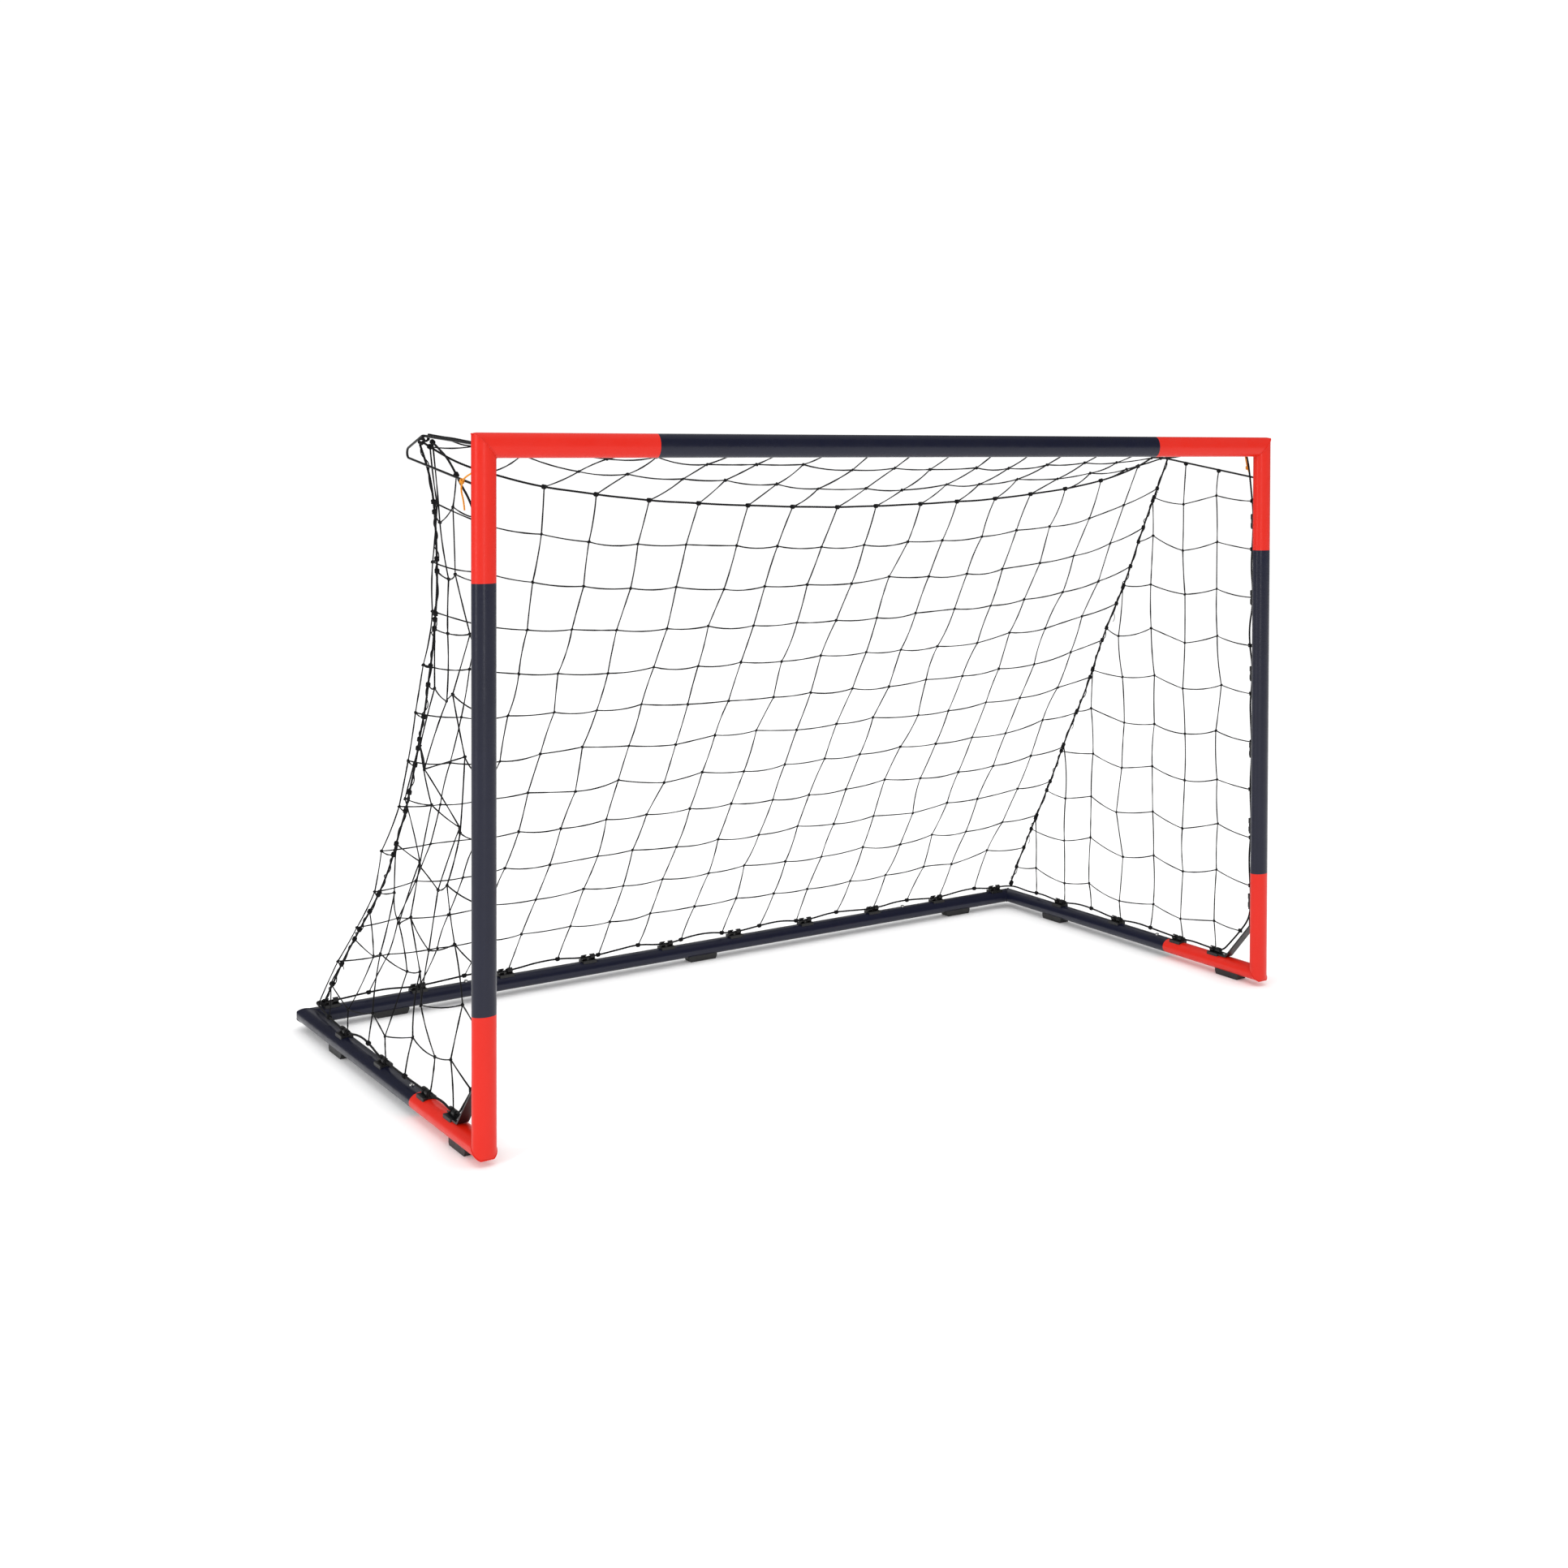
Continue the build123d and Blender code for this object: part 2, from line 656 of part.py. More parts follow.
# from the first clip on a side rail, up behind the brace to the lowest clip on the post
behind_brace = [
    (856.5, -341.5, 72.0),
    (855.5, -369.5, 101.0),
    (856.0, -391.5, 128.0),
]


def mirrored(points):
    return [(-x, y, z) for x, y, z in points]


# up the left post, then off it along the hoop's lower leg to the hoop's tip
left_to_hoop = [
    (-855.0, -385.0, 1012.0),
    (-852.5, -352.0, 1040.0),
    (-850.5, -316.0, 1060.0),
    (-850.0, -288.0, 1082.0),
    (-850.5, -258.0, 1103.0),
    (-851.0, -222.0, 1118.0),
    (-850.5, -190.0, 1130.0),
]
left_rise = through_clips(left_post_clips, x_axis, post_slack_left)
left_start = left_side_clips[0].origin + z_axis * rope_lift
rope_mouth_left = rope(
    [left_start, left_start - y_axis * rope_grip] + mirrored(behind_brace) + left_rise + left_to_hoop,
    rope_diameter,
    "rope_mouth_left",
)

# from the left hoop's tip along its upper leg, across the back of the crossbar and down the right post
tip_to_bar = [
    (-850.0, -178.0, 1140.0),
    (-850.5, -232.0, 1136.0),
    (-851.0, -286.0, 1133.5),
    (-850.0, -338.0, 1129.0),
    (-848.0, -378.0, 1126.0),
    (-834.0, -397.0, 1124.0),
]
bar_to_post = [
    (832.0, -398.0, 1115.0),
    (843.0, -396.0, 1090.0),
    (848.0, -396.5, 1058.0),
    (852.5, -397.0, 1023.0),
]
across = through_clips(top_clips, z_axis, bar_slack)
down = through_clips(post_clips, x_axis, post_slack_right)[::-1]
right_start = side_clips[0].origin + z_axis * rope_lift
rope_mouth_top = rope(
    tip_to_bar + across + bar_to_post + down + behind_brace[::-1]
    + [right_start - y_axis * rope_grip, right_start],
    rope_diameter,
    "rope_mouth_top",
)

# round the base, from the first clip on the left rail to the first clip on the right rail
back_corner = [
    (857.5, 285.0, 51.0),
    (853.0, 333.0, 48.5),
    (850.0, 376.0, 53.0),
    (846.0, 404.0, 49.5),
]
left_base = through_clips(left_side_clips, x_axis, side_slack_left)[1:]
right_base = through_clips(side_clips, x_axis, side_slack_right)[1:][::-1]
along_back = through_clips(base_clips, y_axis, back_slack)
rope_base = rope(
    [left_start] + left_base + mirrored(back_corner) + along_back + back_corner[::-1] + right_base
    + [right_start],
    rope_diameter,
    "rope_base",
)

# the ridge, hanging between the tips of the two hoops
ridge_points = [
    (-850, -149, 1128),
    (-803, -127, 1104),
    (-754, -112, 1085),
    (-700, -103, 1071),
    (-645, -96, 1057),
    (-589, -89, 1046),
    (-533, -86, 1039),
    (-477, -81, 1031),
    (-420, -79, 1025),
    (-364, -78, 1019),
    (-307, -74, 1016),
    (-250, -73, 1012),
    (-193, -72, 1009),
    (-137, -69, 1007),
    (-80, -69, 1004),
    (-23, -66, 1003),
    (34, -68, 1001),
    (91, -66, 1002),
    (148, -68, 1002),
    (205, -67, 1004),
    (262, -70, 1005),
    (318, -69, 1008),
    (375, -72, 1009),
    (432, -72, 1013),
    (489, -77, 1018),
    (545, -78, 1024),
    (602, -82, 1030),
    (658, -86, 1039),
    (712, -93, 1050),
    (763, -100, 1065),
    (811, -118, 1087),
    (850, -148, 1125),
]
rope_ridge = rope(ridge_points, rope_diameter, "rope_ridge")

# the seams between back and side nets: the left one hangs slack, the right one is pulled straight
seam_left_points = [
    (-855, -152, 1124),
    (-843, -160, 1083),
    (-832, -154, 1033),
    (-823, -141, 980),
    (-817, -131, 927),
    (-810, -114, 874),
    (-807, -96, 821),
    (-803, -76, 769),
    (-802, -55, 718),
    (-799, -33, 667),
    (-800, -10, 616),
    (-798, 15, 566),
    (-799, 39, 516),
    (-798, 66, 467),
    (-801, 94, 419),
    (-802, 123, 371),
    (-806, 153, 325),
    (-811, 187, 282),
    (-819, 223, 240),
    (-825, 260, 198),
    (-832, 296, 155),
    (-836, 331, 111),
    (-843, 362, 68),
]
seam_right_points = [
    (850, -156, 1118),
    (852, -130, 1066),
    (852, -67, 945),
    (856, -8, 822),
    (852, 66, 690),
    (855, 122, 567),
    (851, 188, 450),
    (853, 248, 333),
    (849, 311, 215),
    (850, 365, 120),
    (846, 389, 64),
]
rope_seam_left = rope(seam_left_points, rope_diameter, "rope_seam_left")
rope_seam_right = rope(seam_right_points, rope_diameter, "rope_seam_right")

# ties that hold the border rope to the lower legs of the hoops
tie_left_points = [
    (-863, -393, 1080),
    (-864, -372, 1075),
    (-863, -351, 1066),
    (-862, -344, 1051),
    (-860, -351, 1034),
    (-858, -349, 1020),
]
tie_right_points = [
    (838, -391, 1109),
    (846, -386, 1096),
    (852, -385, 1079),
    (860, -384, 1066),
    (864, -382, 1052),
]
tie_left = rope(tie_left_points, tie_diameter, "tie_left")
tie_right = rope(tie_right_points, tie_diameter, "tie_right")

# ---------------------------------------------------------------- net panels
# Each panel is a thin closed sheet that stops short of the ropes about it.
post_rope_y = mouth_y + crest + rope_lift
roof_front = post_rope_y + net_margin
roof_front_z = bar_z - rope_diameter - net_thickness
net_bottom = rail_top + rope_lift + net_margin
net_back_low = back_y - net_margin
net_end = post_x - net_inset
net_end_slack = post_x - net_inset_slack
# one section of a panel at each place across the goal: its place, then its two ends and a point between
roof_sections = [
    (-net_end, (roof_front, roof_front_z), (-262.0, 1110.0), (-165.0, 1107.0)),
    (0.0, (roof_front, roof_front_z), (-222.0, 1048.0), (-80.0, 1000.0)),
    (net_end, (roof_front, roof_front_z), (-262.0, 1108.0), (-165.0, 1105.0)),
]
back_sections = [
    (-net_end_slack, (-135.0, 1075.0), (-8.0, 616.0), (net_back_low, net_bottom)),
    (0.0, (-60.0, 988.0), (160.0, 525.0), (net_back_low, net_bottom)),
    (net_end, (-128.0, 1066.0), (120.0, 567.0), (net_back_low, net_bottom)),
]
# sections of the side panels: height, then the front and the back end, each as how far it hangs
# inside the middle of the post and how far it is behind the post's rope
side_sections_left = [
    (net_bottom, (0.0, 93.4), (12.5, 744.4)),
    (150.0, (0.0, 34.4), (24.5, 682.4)),
    (240.0, (0.0, 12.4), (37.5, 605.4)),
    (420.0, (0.5, 12.4), (55.5, 477.4)),
    (600.0, (1.5, 13.4), (56.5, 381.4)),
    (800.0, (0.5, 13.4), (50.5, 295.4)),
    (980.0, (1.5, 16.4), (33.5, 242.4)),
    (1068.0, (5.5, 108.4), (16.5, 223.4)),
]
side_sections_right = [
    (net_bottom, (0.5, 93.4), (8.5, 772.4)),
    (150.0, (0.5, 34.4), (7.5, 730.4)),
    (240.0, (1.5, 12.4), (6.5, 680.4)),
    (420.0, (2.5, 13.4), (4.5, 584.4)),
    (600.0, (3.5, 14.4), (3.5, 488.4)),
    (800.0, (3.5, 14.4), (1.5, 386.4)),
    (980.0, (5.5, 14.4), (4.5, 298.4)),
    (1045.0, (6.0, 14.4), (6.0, 263.4)),
]


def hung_panel(sections, shift):
    """A sheet through curved sections that stand across the goal."""
    strips = []
    for place, start, middle, end in sections:
        with BuildSketch(Plane.YZ.offset(place)) as strip:
            with BuildLine():
                near = ThreePointArc(start, middle, end)
                moved = [Vector(*point) + Vector(*shift) for point in (start, middle, end)]
                far = ThreePointArc(*moved)
                Line(near @ 0, far @ 0)
                Line(near @ 1, far @ 1)
            make_face()
        strips.append(strip.sketch)
    loft(strips)


def side_panel(sections, side):
    """A sheet of flat stretches through level sections."""
    strips = []
    for height, front, back in sections:
        start, end = [Vector(side * (post_x - inset), post_rope_y + reach) for inset, reach in (front, back)]
        across = (end - start).normalized().rotate(Axis.Z, 90) * (net_thickness / 2)
        with BuildSketch(Plane.XY.offset(height)) as strip:
            with BuildLine():
                Polyline(start - across, end - across, end + across, start + across, close=True)
            make_face()
        strips.append(strip.sketch)
    loft(strips, ruled=True)


with BuildPart() as net_roof:
    hung_panel(roof_sections, (0, -net_thickness))
save(net_roof.part, "net_roof")

with BuildPart() as net_back:
    hung_panel(back_sections, (-net_thickness, 0))
save(net_back.part, "net_back")

with BuildPart() as net_side_left:
    side_panel(side_sections_left, -1)
save(net_side_left.part, "net_side_left")

with BuildPart() as net_side_right:
    side_panel(side_sections_right, 1)
save(net_side_right.part, "net_side_right")
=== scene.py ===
import bpy
import numpy as np
from mathutils import Matrix, Vector


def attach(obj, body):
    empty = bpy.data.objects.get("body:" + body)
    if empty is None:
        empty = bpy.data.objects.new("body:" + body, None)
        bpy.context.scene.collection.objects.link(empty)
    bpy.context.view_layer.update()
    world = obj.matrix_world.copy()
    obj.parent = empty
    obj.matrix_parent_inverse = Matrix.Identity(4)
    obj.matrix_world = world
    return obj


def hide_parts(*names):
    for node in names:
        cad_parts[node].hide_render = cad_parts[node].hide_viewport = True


# Soccer goal: the steel frame keeps its own parts and gets its finishes here, and the ropes, ties and
# knotted net are made here from twine.  Everything is in metres: X along the crossbar, +Y to the back.

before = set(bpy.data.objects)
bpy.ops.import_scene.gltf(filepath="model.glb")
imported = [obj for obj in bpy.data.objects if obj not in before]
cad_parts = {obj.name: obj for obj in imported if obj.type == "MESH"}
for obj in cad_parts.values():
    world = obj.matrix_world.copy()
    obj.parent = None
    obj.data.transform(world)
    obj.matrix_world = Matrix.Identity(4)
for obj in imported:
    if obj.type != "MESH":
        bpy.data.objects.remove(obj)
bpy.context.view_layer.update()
rng = np.random.default_rng(11)
print("frame loaded:", len(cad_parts), "parts")

# the camera comes first, then the ropes
cameraSettings = {
    "place": (-2.0327, -3.1948, 1.1303),
    "turn": 0.62415,  # from +Y towards +X, in radians
    "tilt": -0.01949,
    "roll": 0.0038,
    "lens": 43.516,
    "shift": (-0.0826, -0.1944),
}


def makeCamera(settings):
    # forward = (sin turn cos tilt, cos turn cos tilt, sin tilt); right is level, and then right and up
    # roll about forward
    turn, tilt, roll = settings["turn"], settings["tilt"], settings["roll"]
    forward = Vector((np.sin(turn) * np.cos(tilt), np.cos(turn) * np.cos(tilt), np.sin(tilt)))
    right = Vector((np.cos(turn), -np.sin(turn), 0.0))
    up = right.cross(forward)
    rolledRight = right * np.cos(roll) + up * np.sin(roll)
    rolledUp = up * np.cos(roll) - right * np.sin(roll)
    camera = bpy.data.objects.new("camera", bpy.data.cameras.new("camera"))
    bpy.context.scene.collection.objects.link(camera)
    turned = Matrix((rolledRight, rolledUp, -forward)).transposed().to_4x4()
    camera.matrix_world = Matrix.Translation(settings["place"]) @ turned
    camera.data.sensor_width = 36.0
    camera.data.lens = settings["lens"]
    camera.data.shift_x, camera.data.shift_y = settings["shift"]
    bpy.context.scene.camera = camera
    return camera


makeCamera(cameraSettings)

# small tools
def unit(vectors):
    return vectors / np.maximum(np.linalg.norm(vectors, axis=-1, keepdims=True), 1e-9)


def tubes(name, lines, radius, sides=6, loop=False, guide=(0.36, 0.48, 0.8), uvPerMetre=100.0):
    # lines is (how many, points, 3); each point gets a ring of radius(s, angle) across the line's direction
    lines = np.asarray(lines, dtype=float)
    count, rings = lines.shape[:2]
    if loop:
        along = unit(np.roll(lines, -1, axis=1) - np.roll(lines, 1, axis=1))
    else:
        along = unit(np.gradient(lines, axis=1))
    side = unit(np.cross(along, np.broadcast_to(np.asarray(guide, dtype=float), lines.shape)))
    other = np.cross(along, side)
    angle = np.arange(sides) * 2 * np.pi / sides
    around = (np.cos(angle)[None, None, :, None] * side[:, :, None, :]
              + np.sin(angle)[None, None, :, None] * other[:, :, None, :])
    radius = np.broadcast_to(np.asarray(radius, dtype=float), (count, rings, sides))
    verts = (lines[:, :, None, :] + radius[..., None] * around).reshape(-1, 3)

    spans = rings if loop else rings - 1
    tube, ring, corner = np.meshgrid(np.arange(count), np.arange(spans), np.arange(sides), indexing="ij")

    def index(r, k):
        return (tube * rings + r % rings) * sides + k % sides

    quads = np.stack([index(ring, corner), index(ring, corner + 1),
                      index(ring + 1, corner + 1), index(ring + 1, corner)], axis=-1).reshape(-1, 4)
    steps = np.linalg.norm(np.diff(lines, axis=1), axis=-1)
    reach = np.concatenate([np.zeros((count, 1)), np.cumsum(steps, axis=1)], axis=1) * uvPerMetre
    if loop:
        reach = np.concatenate([reach, reach[:, -1:] + steps[:, -1:] * uvPerMetre], axis=1)
    u0, u1 = reach[tube, ring], reach[tube, ring + 1]
    v0, v1 = corner / sides, (corner + 1) / sides
    uv = np.stack([u0, v0, u0, v1, u1, v1, u1, v0], axis=-1).reshape(-1)
    faces = quads.tolist()
    if not loop:
        first = (np.arange(count)[:, None] * rings) * sides + np.arange(sides)[::-1][None, :]
        last = (np.arange(count)[:, None] * rings + rings - 1) * sides + np.arange(sides)[None, :]
        faces += first.tolist() + last.tolist()
        uv = np.concatenate([uv, np.zeros(2 * count * sides * 2)])
    return meshObject(name, verts, faces, uv)


def meshObject(name, verts, faces, uv=None, smooth=True):
    mesh = bpy.data.meshes.new(name)
    mesh.from_pydata(np.asarray(verts).tolist(), [], faces)
    if uv is not None:
        layer = mesh.uv_layers.new(name="along")
        layer.data.foreach_set("uv", np.asarray(uv, dtype=np.float32))
    mesh.polygons.foreach_set("use_smooth", np.full(len(mesh.polygons), smooth))
    mesh.update()
    thing = bpy.data.objects.new(name, mesh)
    bpy.context.scene.collection.objects.link(thing)
    return thing


def finishPiece(piece, material, nodes=()):
    piece.data.materials.clear()
    piece.data.materials.append(material)
    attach(piece, "frame")
    if nodes:
        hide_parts(*nodes)
    return piece


def smoothLine(points):
    # the line of a quadratic NURBS curve whose control points are the route's points
    curve = bpy.data.curves.new("route", "CURVE")
    curve.dimensions = "3D"
    spline = curve.splines.new("NURBS")
    spline.points.add(len(points) - 1)
    flat = np.column_stack([np.asarray(points), np.ones(len(points))]).astype(np.float32)
    spline.points.foreach_set("co", flat.ravel())
    spline.order_u = 3
    spline.use_endpoint_u = True
    spline.resolution_u = 12
    holder = bpy.data.objects.new("route", curve)
    bpy.context.scene.collection.objects.link(holder)
    bpy.context.view_layer.update()
    mesh = bpy.data.meshes.new_from_object(holder.evaluated_get(bpy.context.evaluated_depsgraph_get()))
    line = np.empty(len(mesh.vertices) * 3)
    mesh.vertices.foreach_get("co", line)
    bpy.data.objects.remove(holder)
    bpy.data.curves.remove(curve)
    bpy.data.meshes.remove(mesh)
    return line.reshape(-1, 3)


def lengthAlong(line):
    steps = np.linalg.norm(np.diff(line, axis=0), axis=1)
    return np.concatenate([[0.0], np.cumsum(steps)])


def atLength(line, reach):
    # points on a line at the given lengths from its start
    cumulative = lengthAlong(line)
    return np.stack([np.interp(reach, cumulative, line[:, axis]) for axis in range(3)], axis=-1)


def nearestLength(line, point):
    return lengthAlong(line)[np.argmin(np.linalg.norm(line - np.asarray(point), axis=1))]


# materials
def newMaterial(name, colour, roughness, metallic=0.0, coat=0.0, sheen=0.0, specular=0.5):
    material = bpy.data.materials.new(name)
    material.use_nodes = True
    shader = material.node_tree.nodes["Principled BSDF"]
    shader.inputs["Base Color"].default_value = (*colour, 1.0)
    shader.inputs["Roughness"].default_value = roughness
    shader.inputs["Metallic"].default_value = metallic
    shader.inputs["Coat Weight"].default_value = coat
    shader.inputs["Coat Roughness"].default_value = 0.08
    shader.inputs["Sheen Weight"].default_value = sheen
    shader.inputs["Specular IOR Level"].default_value = specular
    return material, material.node_tree.nodes, material.node_tree.links, shader


def noiseOn(nodes, links, coords, scale, detail, roughness=0.55, stretch=None):
    noise = nodes.new("ShaderNodeTexNoise")
    noise.inputs["Scale"].default_value = scale
    noise.inputs["Detail"].default_value = detail
    noise.inputs["Roughness"].default_value = roughness
    if stretch:
        mapping = nodes.new("ShaderNodeMapping")
        mapping.inputs["Scale"].default_value = stretch
        links.new(coords, mapping.inputs["Vector"])
        coords = mapping.outputs["Vector"]
    links.new(coords, noise.inputs["Vector"])
    return noise.outputs["Fac"]


def rangeOf(nodes, links, value, low, high, fromLow=0.35, fromHigh=0.65):
    mapped = nodes.new("ShaderNodeMapRange")
    mapped.inputs["From Min"].default_value = fromLow
    mapped.inputs["From Max"].default_value = fromHigh
    mapped.inputs["To Min"].default_value = low
    mapped.inputs["To Max"].default_value = high
    links.new(value, mapped.inputs["Value"])
    return mapped.outputs["Result"]


def mixColours(nodes, links, factor, first, second):
    mix = nodes.new("ShaderNodeMix")
    mix.data_type = "RGBA"
    mix.inputs[6].default_value = (*first, 1.0)
    mix.inputs[7].default_value = (*second, 1.0)
    links.new(factor, mix.inputs["Factor"])
    return mix.outputs[2]


def bumpFrom(nodes, links, height, strength, distance, before=None):
    bump = nodes.new("ShaderNodeBump")
    bump.inputs["Strength"].default_value = strength
    bump.inputs["Distance"].default_value = distance
    links.new(height, bump.inputs["Height"])
    if before:
        links.new(before, bump.inputs["Normal"])
    return bump.outputs["Normal"]


paints = {
    "red": {"colour": (0.70, 0.014, 0.003), "shade": (0.62, 0.011, 0.003), "roughness": (0.32, 0.42)},
    "navy": {"colour": (0.0075, 0.0090, 0.026), "shade": (0.0055, 0.0065, 0.019),
             "roughness": (0.28, 0.38)},
    "black": {"colour": (0.008, 0.008, 0.009), "shade": (0.005, 0.005, 0.006), "roughness": (0.34, 0.46)},
}


def paintMaterial(name, look, coat):
    # powder coat: a slow drift of shade, a fine orange peel, and faint rubbed patches in the gloss
    material, nodes, links, shader = newMaterial(name, look["colour"], 0.35, coat=coat, specular=0.3)
    place = nodes.new("ShaderNodeTexCoord").outputs["Object"]
    drift = noiseOn(nodes, links, place, 6.0, 3)
    links.new(mixColours(nodes, links, drift, look["colour"], look["shade"]), shader.inputs["Base Color"])
    rubbed = noiseOn(nodes, links, place, 38.0, 6)
    links.new(rangeOf(nodes, links, rubbed, *look["roughness"]), shader.inputs["Roughness"])
    peel = noiseOn(nodes, links, place, 620.0, 2)
    grit = noiseOn(nodes, links, place, 2600.0, 1)
    first = bumpFrom(nodes, links, peel, 0.16, 0.0006)
    links.new(bumpFrom(nodes, links, grit, 0.08, 0.0002, first), shader.inputs["Normal"])
    return material


def steelMaterial():
    # bright plated steel with fine turned lines
    material, nodes, links, shader = newMaterial("brightSteel", (0.62, 0.62, 0.61), 0.24, metallic=1.0)
    place = nodes.new("ShaderNodeTexCoord").outputs["Object"]
    lines = noiseOn(nodes, links, place, 900.0, 3, stretch=(1.0, 1.0, 7.0))
    links.new(rangeOf(nodes, links, lines, 0.16, 0.36), shader.inputs["Roughness"])
    links.new(bumpFrom(nodes, links, lines, 0.12, 0.0002), shader.inputs["Normal"])
    return material


def plasticMaterial(name, colour, worn, grain):
    # moulded plastic: spark-eroded grain, with paler dusty patches
    material, nodes, links, shader = newMaterial(name, colour, 0.5)
    place = nodes.new("ShaderNodeTexCoord").outputs["Object"]
    dust = rangeOf(nodes, links, noiseOn(nodes, links, place, 45.0, 5), 0.0, 0.7, 0.45, 0.75)
    links.new(mixColours(nodes, links, dust, colour, worn), shader.inputs["Base Color"])
    texture = noiseOn(nodes, links, place, grain, 2)
    links.new(rangeOf(nodes, links, texture, 0.38, 0.56), shader.inputs["Roughness"])
    links.new(bumpFrom(nodes, links, texture, 0.35, 0.0004), shader.inputs["Normal"])
    return material


def yarnMaterial(name, colour, paintedHighlight, pitch, bump):
    # braided or laid yarn: slanting bands on the piece's own map, with loose fibres between them; the bands
    # are painted a lighter colour, a painted highlight on the strands
    material, nodes, links, shader = newMaterial(name, colour, 0.85, sheen=0.04, specular=0.12)
    shader.inputs["Sheen Roughness"].default_value = 0.5
    mapped = nodes.new("ShaderNodeUVMap")
    mapped.uv_map = "along"
    bands = nodes.new("ShaderNodeTexWave")
    bands.wave_type = "BANDS"
    bands.bands_direction = "DIAGONAL"
    bands.inputs["Scale"].default_value = pitch
    bands.inputs["Distortion"].default_value = 1.2
    bands.inputs["Detail"].default_value = 2.0
    links.new(mapped.outputs["UV"], bands.inputs["Vector"])
    fibres = noiseOn(nodes, links, mapped.outputs["UV"], 14.0, 5, 0.7, stretch=(1.0, 5.0, 1.0))
    blend = nodes.new("ShaderNodeMath")
    blend.operation = "MULTIPLY"
    links.new(bands.outputs["Fac"], blend.inputs[0])
    links.new(fibres, blend.inputs[1])
    # the bands, broken up by the fibres, blend the yarn's own colour towards the painted highlight colour
    shade = rangeOf(nodes, links, blend.outputs["Value"], 0.0, 1.0, 0.05, 0.6)
    links.new(mixColours(nodes, links, shade, colour, paintedHighlight), shader.inputs["Base Color"])
    links.new(bumpFrom(nodes, links, blend.outputs["Value"], bump, 0.0005), shader.inputs["Normal"])
    return material


redPaint = paintMaterial("redPaint", paints["red"], 0.06)
navyPaint = paintMaterial("navyPaint", paints["navy"], 0.12)
blackPaint = paintMaterial("blackPaint", paints["black"], 0.05)
brightSteel = steelMaterial()
clipPlastic = plasticMaterial("clipPlastic", (0.006, 0.006, 0.007), (0.014, 0.014, 0.015), 1100.0)
padPlastic = plasticMaterial("padPlastic", (0.008, 0.008, 0.009), (0.020, 0.020, 0.020), 700.0)
# each yarn's second colour is the painted highlight on its strands
blackRope = yarnMaterial("blackRope", (0.004, 0.004, 0.005), (0.012, 0.012, 0.013), 1.6, 0.8)
netTwine = yarnMaterial("netTwine", (0.004, 0.004, 0.005), (0.011, 0.011, 0.012), 3.2, 0.6)
orangeCord = yarnMaterial("orangeCord", (0.72, 0.22, 0.015), (0.95, 0.50, 0.06), 2.4, 0.9)

nodeFinishes = {
    "top_corner": redPaint,
    "bottom_corner": redPaint,
    "crossbar": navyPaint,
    "post_middle": navyPaint,
    "side_rail": navyPaint,
    "back_rail": navyPaint,
    "net_hoop": blackPaint,
    "brace_left": blackPaint,
    "brace_right": blackPaint,
    "brace_screws": brightSteel,
    "snap_": brightSteel,
    "clips": clipPlastic,
    "foot": padPlastic,
}
for nodeName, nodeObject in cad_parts.items():
    for start, finish in nodeFinishes.items():
        if nodeName.startswith(start):
            for slot in nodeObject.material_slots:
                slot.material = finish
print("finishes on the frame's parts")

# ropes
tubeSizes = {"wide": 0.040, "deep": 0.030, "postX": 0.8565, "mouthY": -0.4215, "backY": 0.4165,
             "barZ": 1.123, "railZ": 0.024, "railTop": 0.039}
ropeSizes = {"diameter": 0.004, "lay": 0.013, "strandDepth": 0.20, "step": 0.002, "sides": 12,
             "lift": 0.0081, "grip": 0.019, "tieDiameter": 0.003}
clipPlaces = {
    "post": [0.172, 0.331, 0.490, 0.650, 0.809, 0.968],
    "side": [0.124, 0.240, 0.440, 0.640],
    "bar": [0.085, 0.270, 0.455, 0.640, 0.790],
    "back": [0.085, 0.270, 0.455, 0.640, 0.815],
}


def throughClips(middles, travel, out, across, slack):
    # a straight grip through each clip, and two loose points a third and two thirds of the way to the next
    travel, out, across = np.asarray(travel), np.asarray(out), np.asarray(across)
    grip = ropeSizes["grip"]
    points = []
    for number, middle in enumerate(middles):
        points += [middle - travel * grip, middle + travel * grip]
        if number < len(slack):
            leave = middle + travel * grip
            arrive = middles[number + 1] - travel * grip
            for share, (lift, shift) in zip((1 / 3, 2 / 3), slack[number]):
                points.append(leave + (arrive - leave) * share + out * lift / 1000 + across * shift / 1000)
    return points


xAxis, yAxis, zAxis = np.eye(3)
postX, mouthY, backY = tubeSizes["postX"], tubeSizes["mouthY"], tubeSizes["backY"]
ropeBehind = mouthY + tubeSizes["deep"] / 2 + ropeSizes["lift"]
ropeAbove = tubeSizes["railTop"] + ropeSizes["lift"]
postMiddles = [np.array([postX, ropeBehind, height]) for height in clipPlaces["post"]]
sideMiddles = [np.array([postX, mouthY + reach, ropeAbove]) for reach in clipPlaces["side"]]
barMiddles = [np.array([offset, ropeBehind, tubeSizes["barZ"]]) for offset in clipPlaces["bar"]]
backMiddles = [np.array([offset, backY, ropeAbove]) for offset in clipPlaces["back"]]


def toLeft(points):
    return [np.asarray(point) * (-1, 1, 1) for point in points]


